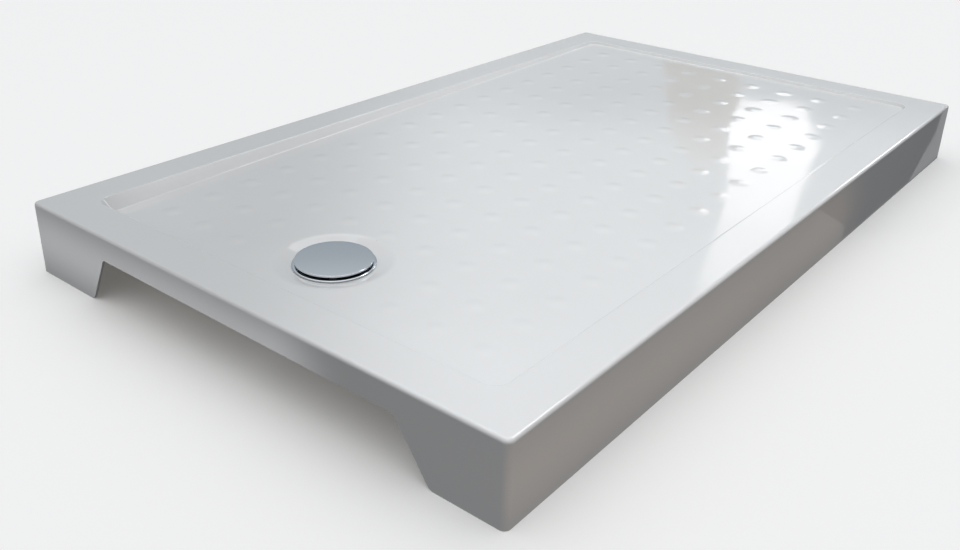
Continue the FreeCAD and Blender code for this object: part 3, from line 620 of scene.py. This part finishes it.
def scatter_tree():
    """Geometry nodes: a copy of a fastener on each point, turned at random about its own axis."""
    tree = bpy.data.node_groups.new("fasteners_on_points", "GeometryNodeTree")
    tree.is_modifier = True
    face = tree.interface
    face.new_socket("Geometry", in_out="INPUT", socket_type="NodeSocketGeometry")
    face.new_socket("Fastener", in_out="INPUT", socket_type="NodeSocketObject")
    face.new_socket("Largest turn", in_out="INPUT", socket_type="NodeSocketFloat")
    face.new_socket("Seed", in_out="INPUT", socket_type="NodeSocketInt")
    face.new_socket("Finish", in_out="INPUT", socket_type="NodeSocketMaterial")
    face.new_socket("Geometry", in_out="OUTPUT", socket_type="NodeSocketGeometry")
    nodes, links = tree.nodes, tree.links
    given = nodes.new("NodeGroupInput")
    made = nodes.new("NodeGroupOutput")
    shape = nodes.new("GeometryNodeObjectInfo")
    copies = nodes.new("GeometryNodeInstanceOnPoints")
    turn = nodes.new("FunctionNodeRandomValue")
    turn.data_type = "FLOAT"
    axis = nodes.new("ShaderNodeCombineXYZ")
    real = nodes.new("GeometryNodeRealizeInstances")
    finish = nodes.new("GeometryNodeSetMaterial")
    links.new(given.outputs["Fastener"], shape.inputs["Object"])
    links.new(given.outputs["Geometry"], copies.inputs["Points"])
    links.new(shape.outputs["Geometry"], copies.inputs["Instance"])
    largest = [i for i in turn.inputs if i.name == "Max" and i.type == "VALUE"][0]
    value = [o for o in turn.outputs if o.type == "VALUE"][0]
    links.new(given.outputs["Largest turn"], largest)
    links.new(given.outputs["Seed"], turn.inputs["Seed"])
    links.new(value, axis.inputs["Z"])
    links.new(axis.outputs["Vector"], copies.inputs["Rotation"])
    links.new(copies.outputs["Instances"], real.inputs["Geometry"])
    links.new(real.outputs["Geometry"], finish.inputs["Geometry"])
    links.new(given.outputs["Finish"], finish.inputs["Material"])
    links.new(finish.outputs["Geometry"], made.inputs["Geometry"])
    return tree


SCATTER = scatter_tree()


def scattered(name, points, fastener, material, seed, largest_turn=math.pi / 2):
    """A mesh of one fastener copied to each point."""
    mesh = bpy.data.meshes.new(name)
    mesh.from_pydata(points, [], [])
    made = piece(name, mesh, material)
    work = made.modifiers.new("fasteners", "NODES")
    work.node_group = SCATTER
    given = {"Fastener": fastener, "Largest turn": largest_turn, "Seed": seed, "Finish": material}
    for item in SCATTER.interface.items_tree:
        if item.in_out == "INPUT" and item.name in given:
            work[item.identifier] = given[item.name]
    baked(made)
    bpy.data.objects.remove(fastener)
    mark_sharp(made.data)
    made.data.name = name
    return made


def zinc_material():
    """Bright plating, bluish in patches, over slightly rough steel."""
    material, nodes, links, main = shader("zinc_plate", ZINC_PALE, 0.3, 1.0)
    tone = between(nodes, links, noise(nodes, links, 120.0), ZINC_BLUE, ZINC_PALE)
    links.new(tone, main.inputs["Base Color"])
    shine = between(nodes, links, noise(nodes, links, 400.0), *ZINC_SHINE)
    links.new(shine, main.inputs["Roughness"])
    links.new(bump(nodes, links, noise(nodes, links, 1500.0), ZINC_RELIEF), main.inputs["Normal"])
    return material


def middle(node):
    """The middle of a node's box."""
    low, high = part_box(node)
    return (low + high) / 2


zinc = zinc_material()
screw_points = []
screw_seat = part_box("foot_plate_screws")[0].z + SCREW_HEAD_HEIGHT
for place in PLACES:
    centre = middle("foot_plate_" + place)
    for i in (-0.5, 0.5):
        for j in (-0.5, 0.5):
            screw_points.append((centre.x + i * PLATE_SCREW_SPACING,
                                 centre.y + j * PLATE_SCREW_SPACING, screw_seat))
plate_screws = scattered("plate_screws", screw_points, screw_mesh(PLATE_SCREW_LENGTH), zinc, seed=4)
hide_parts("foot_plate_screws")
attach(plate_screws, "tray")
dress("bearer_screws", zinc)


# Foot plates
#
# Black polypropylene plates with rounded edges under the bearers, each with a boss for the
# stem's thread.

PLATE_HALF = 0.030
PLATE_CORNER = 0.006
PLATE_THICKNESS = 0.004
PLATE_EDGE = 0.0006
PLATE_GAP = 0.00001
BOSS_RADIUS = 0.012
BOSS_FILLET = 0.001
BOSS_ROOT = 0.6        # of the plate's thickness, where the boss ends inside it
STEM_HOLE = 0.00508
BOSS_SIDES = 48

BLACK = (0.030, 0.030, 0.033)
BLACK_WORN = (0.055, 0.055, 0.058)
GRAIN_RELIEF = 0.00004


def moulded_material(name, colour, worn, roughness):
    """Moulded polypropylene: a fine spark-eroded grain and a slightly uneven sheen."""
    material, nodes, links, main = shader(name, colour, roughness)
    tone = between(nodes, links, noise(nodes, links, 60.0, 5.0), colour, worn, 0.35, 0.8)
    links.new(tone, main.inputs["Base Color"])
    shine = between(nodes, links, noise(nodes, links, 90.0), roughness - 0.08, roughness + 0.1)
    links.new(shine, main.inputs["Roughness"])
    grain = bump(nodes, links, noise(nodes, links, 2500.0, 2.0), GRAIN_RELIEF)
    links.new(grain, main.inputs["Normal"])
    return material


def prism(points, low, high):
    """A flat outline of (x, y) points raised from one height to another."""
    bm = bmesh.new()
    base = [bm.verts.new((x, y, low)) for x, y in points]
    top = [bm.verts.new((x, y, high)) for x, y in points]
    bm.faces.new(base[::-1])
    bm.faces.new(top)
    for k in range(len(points)):
        n = (k + 1) % len(points)
        bm.faces.new((base[k], base[n], top[n], top[k]))
    mesh = bpy.data.meshes.new("prism")
    bm.to_mesh(mesh)
    bm.free()
    return mesh


def softened(mesh, width, segments=2):
    """An object of the mesh with its sharp edges rounded."""
    made = bpy.data.objects.new("softened", mesh)
    bpy.context.scene.collection.objects.link(made)
    round_off = made.modifiers.new("edges", "BEVEL")
    round_off.width = width
    round_off.segments = segments
    round_off.limit_method = "ANGLE"
    round_off.angle_limit = SHARP_ANGLE
    baked(made)
    mark_sharp(made.data)
    return made


def plate_object():
    """A plate with its top face at the origin and its boss below."""
    low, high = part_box("foot_plate_front_left")
    boss_low = low.z - high.z
    root = -PLATE_THICKNESS * BOSS_ROOT
    corners = [(p.x, p.y) for p, _ in outline(PLATE_HALF, PLATE_HALF, PLATE_CORNER)]
    corners = list(dict.fromkeys(corners))
    plate = softened(prism(corners, -PLATE_THICKNESS, -PLATE_GAP), PLATE_EDGE)
    boss = lathe([
        (STEM_HOLE, boss_low), (BOSS_RADIUS - PLATE_EDGE, boss_low),
        (BOSS_RADIUS, boss_low + PLATE_EDGE), (BOSS_RADIUS, -PLATE_THICKNESS - BOSS_FILLET),
        (BOSS_RADIUS + BOSS_FILLET, -PLATE_THICKNESS), (BOSS_RADIUS, root), (STEM_HOLE, root),
    ], BOSS_SIDES, closed=True)
    bm = bmesh.new()
    bm.from_mesh(plate.data)
    bm.from_mesh(boss)
    bm.to_mesh(plate.data)
    bm.free()
    return plate


black = moulded_material("black_moulding", BLACK, BLACK_WORN, 0.42)
plate_places = []
for place in PLACES:
    centre = middle("foot_plate_" + place)
    plate_places.append((centre.x, centre.y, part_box("foot_plate_" + place)[1].z))
plates = scattered("foot_plates", plate_places, plate_object(), black, seed=1, largest_turn=0.0)
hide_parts(*["foot_plate_" + place for place in PLACES])
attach(plates, "tray")


# Lock nuts, stems and pads of the feet
#
# Zinc-plated hexagon nuts run up under the plates, screwed stems with a spanner hexagon and a
# ball end, and moulded pads that swivel on the balls.

THREAD_PITCH = 0.0015
THREAD_DEPTH = 0.0006
THREAD_SIDES = 24
THREAD_STEPS = 6
STEM_RADIUS = 0.005
HEX_LOW = 0.014
HEX_HIGH = 0.020
HEX_FLATS = 0.014
NUT_FLATS = 0.017
BORE_SIDES = 32
BORE_PAST = 0.001
NECK_RADIUS = 0.004
NECK_SIDES = 32
BALL_RADIUS = 0.006
BALL_CENTRE = 0.008
BALL_STEPS = 12
CHAMFER = 0.0006
PAD_TOP = 0.0115
PAD_CURVE = (
    (0.0, 0.001), (0.018, 0.001), (0.0183, 0.0), (0.0242, 0.0), (0.0248, 0.0003), (0.025, 0.0009),
    (0.025, 0.0032), (0.0248, 0.0038), (0.0242, 0.0043), (0.0180, 0.0078), (0.0122, 0.0110),
    (0.0115, 0.0114), (0.0108, PAD_TOP), (0.0054, PAD_TOP),
)
PAD_SIDES = 64
SOCKET_RADIUS = BALL_RADIUS + 0.00015
SOCKET_STEPS = 10


def hexagon(flats, x=0.0, y=0.0):
    """Corners of a hexagon that is so wide across its flats."""
    corner = flats / math.sqrt(3)
    angles = [k * math.pi / 3 for k in range(6)]
    return [(x + corner * math.cos(a), y + corner * math.sin(a)) for a in angles]


def nut_object():
    """A hexagon nut round the upright axis, with its lower face at the origin."""
    low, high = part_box("foot_lock_nuts")
    height = high.z - low.z
    nut = softened(prism(hexagon(NUT_FLATS), 0.0, height), CHAMFER, 1)
    start, end = -BORE_PAST, height + BORE_PAST
    bore_mesh = lathe([(0.0, start), (STEM_HOLE, start), (STEM_HOLE, end), (0.0, end)], BORE_SIDES)
    bore = bpy.data.objects.new("bore", bore_mesh)
    bpy.context.scene.collection.objects.link(bore)
    cut = nut.modifiers.new("bore", "BOOLEAN")
    cut.operation = "DIFFERENCE"
    cut.object = bore
    baked(nut)
    bpy.data.objects.remove(bore)
    return nut


def round_the_ball(radius, first, last, steps):
    """Pairs of (radius, height) on a sphere about the ball's centre, from one angle to another."""
    angles = [first + (last - first) * k / steps for k in range(steps + 1)]
    return [(radius * math.cos(a), BALL_CENTRE + radius * math.sin(a)) for a in angles]


def stem_mesh(x, y, top):
    """A stem whose thread is a true helix, over a hexagon, a neck and a ball."""
    bm = bmesh.new()

    def ring(height, radii):
        made = []
        for k, radius in enumerate(radii):
            angle = 2 * math.pi * (k / THREAD_SIDES)
            made.append(bm.verts.new((x + radius * math.cos(angle), y + radius * math.sin(angle),
                                      height)))
        return made

    rings = []
    rises = int((top - HEX_HIGH - CHAMFER) / THREAD_PITCH * THREAD_STEPS)
    for i in range(rises + 1):
        phases = [(i / THREAD_STEPS - k / THREAD_SIDES) % 1.0 for k in range(THREAD_SIDES)]
        radii = [STEM_RADIUS - THREAD_DEPTH * abs(2 * phase - 1) for phase in phases]
        rings.append(ring(HEX_HIGH + i * THREAD_PITCH / THREAD_STEPS, radii))
    rings.append(ring(top, [STEM_RADIUS - THREAD_DEPTH - CHAMFER / 2] * THREAD_SIDES))
    for low, high in zip(rings, rings[1:]):
        for k in range(THREAD_SIDES):
            n = (k + 1) % THREAD_SIDES
            bm.faces.new((low[k], low[n], high[n], high[k]))
    bm.faces.new(rings[-1])
    bm.faces.new(rings[0][::-1])
    spanner = softened(prism(hexagon(HEX_FLATS, x, y), HEX_LOW, HEX_HIGH), CHAMFER, 1)
    bm.from_mesh(spanner.data)
    bpy.data.objects.remove(spanner)
    join = math.acos(NECK_RADIUS / BALL_RADIUS)
    ball = round_the_ball(BALL_RADIUS, -math.pi / 2, join, BALL_STEPS)
    ball[0] = (0.0, BALL_CENTRE - BALL_RADIUS)
    bm.from_mesh(lathe(ball + [(NECK_RADIUS, HEX_LOW), (0.0, HEX_LOW)], NECK_SIDES, (x, y)))
    mesh = bpy.data.meshes.new("stem")
    bm.to_mesh(mesh)
    bm.free()
    mark_sharp(mesh)
    return mesh


def pad_mesh(x, y):
    """A round pad: a tread ring below, a rounded edge, a cone with a step and a ball socket."""
    mouth = math.asin((PAD_TOP - BALL_CENTRE) / SOCKET_RADIUS)
    socket = round_the_ball(SOCKET_RADIUS, mouth, -math.pi / 2, SOCKET_STEPS)
    socket[-1] = (0.0, BALL_CENTRE - SOCKET_RADIUS)
    return lathe([*PAD_CURVE, *socket], PAD_SIDES, (x, y))


nut_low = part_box("foot_lock_nuts")[0].z
nut_points = [(x, y, nut_low) for x, y, _ in plate_places]
lock_nuts = scattered("lock_nuts", nut_points, nut_object(), zinc, seed=7, largest_turn=math.pi / 3)
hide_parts("foot_lock_nuts")
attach(lock_nuts, "tray")

for place in PLACES:
    centre = middle("foot_stem_" + place)
    stem_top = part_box("foot_stem_" + place)[1].z
    stem = piece("stem_" + place, stem_mesh(centre.x, centre.y, stem_top), zinc)
    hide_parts("foot_stem_" + place)
    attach(stem, "stem_" + place)
    pad = piece("pad_" + place, pad_mesh(centre.x, centre.y), black)
    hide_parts("foot_pad_" + place)
    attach(pad, "pad_" + place)


# Waste flange and rubber seals
#
# A chrome-plated brass ring clamped on the dish's seat over a rubber washer, with a throat that
# screws down into the trap.

FLANGE_RADIUS = 0.059
FLANGE_THICKNESS = 0.0020
FLANGE_FLAT = 0.050        # a radius on its flat top, between the two roundings
FLANGE_EDGE = 0.0018
THROAT_RADIUS = 0.040
THROAT_OUTER = 0.0435
THROAT_EDGE = 0.0012
THROAT_EDGE_STEPS = 5
LEDGE_REACH = 0.037
LEDGE_THICKNESS = 0.002
FLANGE_SIDES = 160

CHROME = (0.63, 0.665, 0.71)
CHROME_SHINE = (0.04, 0.09)
CHROME_RELIEF = 0.00004
RUBBER = (0.018, 0.018, 0.019)
RUBBER_DUSTY = (0.045, 0.044, 0.042)
RUBBER_RELIEF = 0.00005


def chrome_material():
    """Polished plating with hairline wiping marks and a little dulling."""
    material, nodes, links, main = shader("chrome", CHROME, 0.06, 1.0)
    wiped = noise(nodes, links, 220.0, 6.0, (1.0, 0.05, 1.0))
    shine = between(nodes, links, wiped, *CHROME_SHINE)
    links.new(shine, main.inputs["Roughness"])
    soft = bump(nodes, links, noise(nodes, links, 12.0, 1.0), CHROME_RELIEF)
    links.new(soft, main.inputs["Normal"])
    return material


def rubber_material():
    """Black moulded rubber with a dusty bloom."""
    material, nodes, links, main = shader("rubber", RUBBER, 0.7)
    tone = between(nodes, links, noise(nodes, links, 150.0), RUBBER, RUBBER_DUSTY)
    links.new(tone, main.inputs["Base Color"])
    links.new(bump(nodes, links, noise(nodes, links, 1800.0), RUBBER_RELIEF), main.inputs["Normal"])
    return material


def flange_mesh():
    """The ring's section turned: a ledge at the foot of the throat, and a rounded flange on top."""
    low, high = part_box("drain_flange")
    top, under = high.z, high.z - FLANGE_THICKNESS
    ledge = low.z + LEDGE_THICKNESS
    flat = Vector((FLANGE_FLAT, top))
    edge = rounded(flat, Vector((FLANGE_RADIUS, top)), Vector((FLANGE_RADIUS, under)),
                   FLANGE_EDGE, FILLET_STEPS)
    mouth = rounded(Vector((THROAT_RADIUS, under)), Vector((THROAT_RADIUS, top)), flat,
                    THROAT_EDGE, THROAT_EDGE_STEPS)
    profile = [
        (LEDGE_REACH, low.z), (THROAT_OUTER, low.z), (THROAT_OUTER, under), (FLANGE_RADIUS, under),
        *[(p.x, p.y) for p in reversed(edge)],
        *[(p.x, p.y) for p in reversed(mouth)],
        (THROAT_RADIUS, ledge), (LEDGE_REACH, ledge),
    ]
    return lathe(profile, FLANGE_SIDES, (DRAIN_X, 0.0), closed=True)


chrome = chrome_material()
flange = piece("waste_flange", flange_mesh(), chrome)
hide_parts("drain_flange")
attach(flange, "tray")

rubber = rubber_material()
for seal in ("flange_seal", "trap_seal", "cup_seal", "union_seal", "pipe_seal"):
    dress(seal, rubber)


# Drain cover
#
# A pressed brass cap, chrome plated, with a slightly domed top and a turned-down lip. It clips
# over a grey plastic carrier whose legs hold it off the flange so that water runs in all round.

COVER_RADIUS = 0.055
COVER_DOME = 0.0012
COVER_SKIN = 0.0012
COVER_EDGE = 0.0006
COVER_EDGE_STEPS = 8
COVER_BEND = 0.0005
LIP_INNER_EDGE = 0.0002
LIP_OUTER_EDGE = 0.0003
DOME_STEPS = 14
COVER_SIDES = 192

CARRIER_GREY = (0.050, 0.052, 0.055)
CARRIER_PALE = (0.075, 0.077, 0.080)


def cover_mesh():
    """The cap's section turned: flat inside, up its lip, over its edge and up its dome."""
    low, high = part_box("drain_cover")
    lip = low.z
    shoulder = high.z - COVER_DOME
    ceiling = shoulder - COVER_SKIN
    inner = COVER_RADIUS - COVER_SKIN
    edge = rounded(Vector((COVER_RADIUS, lip)), Vector((COVER_RADIUS, shoulder)),
                   Vector((0.0, high.z)), COVER_EDGE, COVER_EDGE_STEPS)
    sphere = (COVER_RADIUS ** 2 + COVER_DOME ** 2) / (2 * COVER_DOME)
    dome = []
    for k in range(1, DOME_STEPS):
        radius = edge[-1].x * (1 - k / DOME_STEPS)
        dome.append((radius, high.z - sphere + math.sqrt(sphere ** 2 - radius ** 2)))
    profile = [
        (0.0, ceiling), (inner - COVER_BEND, ceiling), (inner, ceiling - COVER_BEND),
        (inner, lip + LIP_INNER_EDGE), (inner + LIP_INNER_EDGE, lip),
        (COVER_RADIUS - LIP_OUTER_EDGE, lip), (COVER_RADIUS, lip + LIP_OUTER_EDGE),
        *[(p.x, p.y) for p in edge], *dome, (0.0, high.z),
    ]
    return lathe(profile, COVER_SIDES, (DRAIN_X, 0.0))


cover = piece("cover_cap", cover_mesh(), chrome)
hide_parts("drain_cover")
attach(cover, "cover")
dress("cover_carrier", moulded_material("dark_grey_moulding", CARRIER_GREY, CARRIER_PALE, 0.45))


# Strainer cup, trap and outlet
#
# Moulded polypropylene: a grey cup that lifts out, and a white trap, outlet tube and ribbed nuts
# that carry the water through the notch.

CUP_GREY = (0.20, 0.21, 0.22)
CUP_PALE = (0.26, 0.27, 0.28)
TRAP_WHITE = (0.70, 0.70, 0.68)
TRAP_CREAM = (0.62, 0.61, 0.57)

dress("strainer_cup", moulded_material("grey_moulding", CUP_GREY, CUP_PALE, 0.4))
white = moulded_material("white_moulding", TRAP_WHITE, TRAP_CREAM, 0.35)
for part in ("trap_body", "outlet_tube", "union_nut", "pipe_nut"):
    dress(part, white)


# Floor, light and camera
#
# A plain pale floor with a slight glow, a broad soft sky and lamps that leave the floor unlit.
# Flat panels that only reflections see stand for the room: its window, its door and its ground.
# The camera is where the photograph's was.

FLOOR_SIZE = 60.0
FLOOR_COLOUR = (0.90, 0.90, 0.90)
FLOOR_ROUGHNESS = 0.7
FLOOR_GLOSS = 0.1
FLOOR_GLOW = 0.10
GROUND_LIFT = 0.001
SKY_STRENGTH = 2.0
SKY_TURNS_NEAR, SKY_TURNS_FAR = -0.5, 0.6        # how far ahead, from -1 behind to 1 in front
COLOUR_A, COLOUR_B, COLOUR_MIXED = 6, 7, 2        # the mixing node's sockets for colours
SKY_FAR = (
    (0.00, (0.060, 0.060, 0.060)), (0.49, (0.105, 0.103, 0.101)), (0.53, (0.190, 0.207, 0.219)),
    (0.62, (0.200, 0.218, 0.232)), (0.72, (0.255, 0.275, 0.285)), (0.86, (0.440, 0.445, 0.450)),
    (1.00, (0.720, 0.720, 0.720)),
)
SKY_NEAR = (
    (0.00, (0.055, 0.055, 0.056)), (0.49, (0.062, 0.062, 0.064)), (0.53, (0.085, 0.084, 0.083)),
    (0.62, (0.135, 0.132, 0.130)), (0.72, (0.210, 0.210, 0.210)), (0.86, (0.440, 0.440, 0.440)),
    (1.00, (0.720, 0.720, 0.720)),
)
HEADING = math.radians(38.30)
FRONT = Vector((math.cos(HEADING), math.sin(HEADING), 0.0))
ACROSS = Vector((math.sin(HEADING), -math.cos(HEADING), 0.0))
UP = Vector((0, 0, 1))
DOWN = (0, 0, -1)
ALONG_TRAY = (1, 0, 0)
ACROSS_TRAY = (0, 1, 0)
OVER_TRAY = ACROSS * 0.49 + UP
WHITE_LIGHT = (1.0, 1.0, 1.0)
COOL_LIGHT = (0.96, 0.98, 1.0)
WARM_LIGHT = (1.0, 0.70, 0.46)
CAMERA_PLACE = (-1.3985, -0.9178, 0.7132)
CAMERA_TILT = math.radians(24.47)
CAMERA_ROLL = math.radians(1.51)
CAMERA_LENS = 37.15
CAMERA_SENSOR = 36.0
CAMERA_SHIFT = -50 / 960        # of the picture's width


def studio_floor():
    """The ground, which reflections and bounced light miss, in a set that lamps leave unlit."""
    ground = bpy.data.meshes.new("studio_floor")
    half = FLOOR_SIZE / 2
    corners = [(-half, -half, 0), (half, -half, 0), (half, half, 0), (-half, half, 0)]
    ground.from_pydata(corners, [], [(0, 1, 2, 3)])
    material, _, _, main = shader("studio_floor", FLOOR_COLOUR, FLOOR_ROUGHNESS)
    main.inputs["Specular IOR Level"].default_value = FLOOR_GLOSS
    main.inputs["Emission Color"].default_value = (1.0, 1.0, 1.0, 1.0)
    main.inputs["Emission Strength"].default_value = FLOOR_GLOW
    made = piece("studio_floor", ground, material)
    made.visible_glossy = False
    made.visible_diffuse = False
    unlit = bpy.data.collections.new("unlit_by_lamps")
    unlit.objects.link(made)
    unlit.collection_objects[0].light_linking.link_state = "EXCLUDE"
    return unlit


def panel(name, corners, colour, strength=1.0):
    """A flat panel that shows only in reflections: a window when bright, a flag when dark."""
    mesh = bpy.data.meshes.new(name)
    mesh.from_pydata(corners, [], [tuple(range(len(corners)))])
    material = bpy.data.materials.new(name)
    material.use_nodes = True
    nodes, links = material.node_tree.nodes, material.node_tree.links
    nodes.remove(nodes["Principled BSDF"])
    glow = nodes.new("ShaderNodeEmission")
    glow.inputs["Color"].default_value = (*colour, 1.0)
    glow.inputs["Strength"].default_value = strength
    links.new(glow.outputs["Emission"], nodes["Material Output"].inputs["Surface"])
    made = piece(name, mesh, material)
    made.visible_camera = False
    made.visible_diffuse = False
    made.visible_shadow = False
    made.visible_transmission = False


def far_wall(distance, *corners):
    """Points on an upright plane across the camera's heading, from (sideways, height) pairs."""
    return [FRONT * distance + ACROSS * side + UP * height for side, height in corners]


def near_ground(*corners):
    """Points just over the floor, from (x, y) pairs."""
    return [(x, y, GROUND_LIFT) for x, y in corners]


def soft_light(name, place, aim, along, size, spread, power, colour=WHITE_LIGHT):
    """A soft lamp, narrowed by a grid of so many degrees, that shows in no reflection."""
    lamp = bpy.data.lights.new(name, "AREA")
    lamp.shape = "RECTANGLE"
    lamp.size, lamp.size_y = size
    lamp.spread = math.radians(spread)
    lamp.energy = power
    lamp.color = colour
    made = bpy.data.objects.new(name, lamp)
    back = -Vector(aim).normalized()
    side = Vector(along).normalized()
    turned = Matrix((side, back.cross(side), back)).transposed()
    made.matrix_world = Matrix.Translation(place) @ turned.to_4x4()
    made.visible_camera = False
    made.visible_glossy = False
    made.light_linking.receiver_collection = UNLIT
    bpy.context.scene.collection.objects.link(made)


def sky():
    """Bright overhead and dim near the ground, dimmer on the camera's side than beyond."""
    world = bpy.data.worlds.new("studio")
    bpy.context.scene.world = world
    world.use_nodes = True
    nodes, links = world.node_tree.nodes, world.node_tree.links
    place = nodes.new("ShaderNodeTexCoord")
    split = nodes.new("ShaderNodeSeparateXYZ")
    links.new(place.outputs["Generated"], split.inputs["Vector"])
    height = nodes.new("ShaderNodeMapRange")
    height.inputs["From Min"].default_value = -1.0
    links.new(split.outputs["Z"], height.inputs["Value"])
    ahead = nodes.new("ShaderNodeVectorMath")
    ahead.operation = "DOT_PRODUCT"
    ahead.inputs[1].default_value = FRONT
    links.new(place.outputs["Generated"], ahead.inputs[0])
    side = nodes.new("ShaderNodeMapRange")
    side.interpolation_type = "SMOOTHSTEP"
    side.inputs["From Min"].default_value = SKY_TURNS_NEAR
    side.inputs["From Max"].default_value = SKY_TURNS_FAR
    links.new(ahead.outputs["Value"], side.inputs["Value"])
    blend = nodes.new("ShaderNodeMix")
    blend.data_type = "RGBA"
    links.new(side.outputs["Result"], blend.inputs["Factor"])
    for stops, socket in ((SKY_NEAR, COLOUR_A), (SKY_FAR, COLOUR_B)):
        ramp = nodes.new("ShaderNodeValToRGB")
        given = list(ramp.color_ramp.elements)
        for k, (position, colour) in enumerate(stops):
            stop = given[k] if k < len(given) else ramp.color_ramp.elements.new(position)
            stop.position = position
            stop.color = (*colour, 1.0)
        links.new(height.outputs["Result"], ramp.inputs["Fac"])
        links.new(ramp.outputs["Color"], blend.inputs[socket])
    links.new(blend.outputs[COLOUR_MIXED], nodes["Background"].inputs["Color"])
    nodes["Background"].inputs["Strength"].default_value = SKY_STRENGTH


UNLIT = studio_floor()
sky()

panel("window_foot", far_wall(
    3.0, (1.10, 0.97), (1.32, 0.98), (1.43, 1.02), (1.46, 1.09), (1.53, 1.19), (1.50, 1.30),
    (1.08, 1.30), (1.06, 1.10)), WHITE_LIGHT, 2.3)
panel("window_middle", far_wall(
    3.0, (1.08, 1.30), (1.50, 1.30), (1.48, 1.36), (1.46, 1.60), (1.08, 1.60), (1.09, 1.40)),
    WHITE_LIGHT, 2.05)
panel("window_head", far_wall(
    3.0, (1.08, 1.60), (1.46, 1.60), (1.44, 1.68), (1.38, 1.85), (1.22, 2.03), (1.01, 2.03),
    (1.045, 1.81), (1.065, 1.70)), WHITE_LIGHT, 1.75)
panel("door", far_wall(
    2.99, (0.70, 0.76), (1.06, 0.80), (1.10, 0.97), (1.05, 1.10), (1.06, 1.30), (0.90, 1.28),
    (0.77, 1.10)), (0.25, 0.19, 0.09))
panel("high_panel", far_wall(
    12.0, (8.5, 14.9), (14.3, 19.0), (23.9, 27.0), (23.9, 41.0), (14.3, 28.8), (8.5, 22.7)),
    COOL_LIGHT, 10.0)
panel("corner_panel", far_wall(
    12.0, (-6.0, 12.2), (1.6, 11.0), (1.6, 19.8), (-6.0, 21.5)), COOL_LIGHT, 2.6)
panel("low_panel", far_wall(
    12.0, (7.5, 5.4), (12.6, 6.6), (12.6, 8.6), (7.5, 7.0)), WHITE_LIGHT, 6.0)
panel("dark_flag", near_ground(
    (0.20, -0.452), (0.26, -0.470), (0.32, -0.560), (1.07, -0.560), (1.07, -0.525),
    (0.56, -0.452)), (0.02, 0.02, 0.025))
panel("pale_ground", near_ground(
    (0.56, -0.452), (1.07, -0.525), (1.40, -0.525), (1.40, -0.452)), (0.33, 0.34, 0.35))

soft_light("over_near_side", OVER_TRAY - FRONT * 0.65, DOWN, FRONT,
           size=(1.7, 1.6), spread=30, power=3.57)
soft_light("over_far_side", OVER_TRAY + FRONT * 0.85, DOWN, FRONT,
           size=(1.3, 1.6), spread=30, power=1.5)
soft_light("beside_drain_end", (-1.15, 0.30, 0.06), ALONG_TRAY, ACROSS_TRAY,
           size=(0.90, 0.05), spread=23, power=0.098)
soft_light("beside_long_side", (-0.55, -0.85, 0.06), ACROSS_TRAY, ALONG_TRAY,
           size=(1.50, 0.05), spread=30, power=0.08, colour=WARM_LIGHT)
soft_light("at_rear_step", (0.0, 0.06, 0.14), ACROSS_TRAY, ALONG_TRAY,
           size=(1.30, 0.03), spread=30, power=0.14)
soft_light("at_far_step", (0.35, 0.0, 0.14), ALONG_TRAY, ACROSS_TRAY,
           size=(0.70, 0.03), spread=30, power=0.05)

lens = bpy.data.cameras.new("camera")
lens.lens = CAMERA_LENS
lens.sensor_width = CAMERA_SENSOR
lens.shift_y = CAMERA_SHIFT
camera = bpy.data.objects.new("camera", lens)
turned = Matrix.Rotation(HEADING - math.pi / 2, 4, "Z")
turned @= Matrix.Rotation(math.pi / 2 - CAMERA_TILT, 4, "X")
turned @= Matrix.Rotation(CAMERA_ROLL, 4, "Z")
camera.matrix_world = Matrix.Translation(CAMERA_PLACE) @ turned
bpy.context.scene.collection.objects.link(camera)
bpy.context.scene.camera = camera
bpy.context.scene.view_settings.view_transform = "Standard"
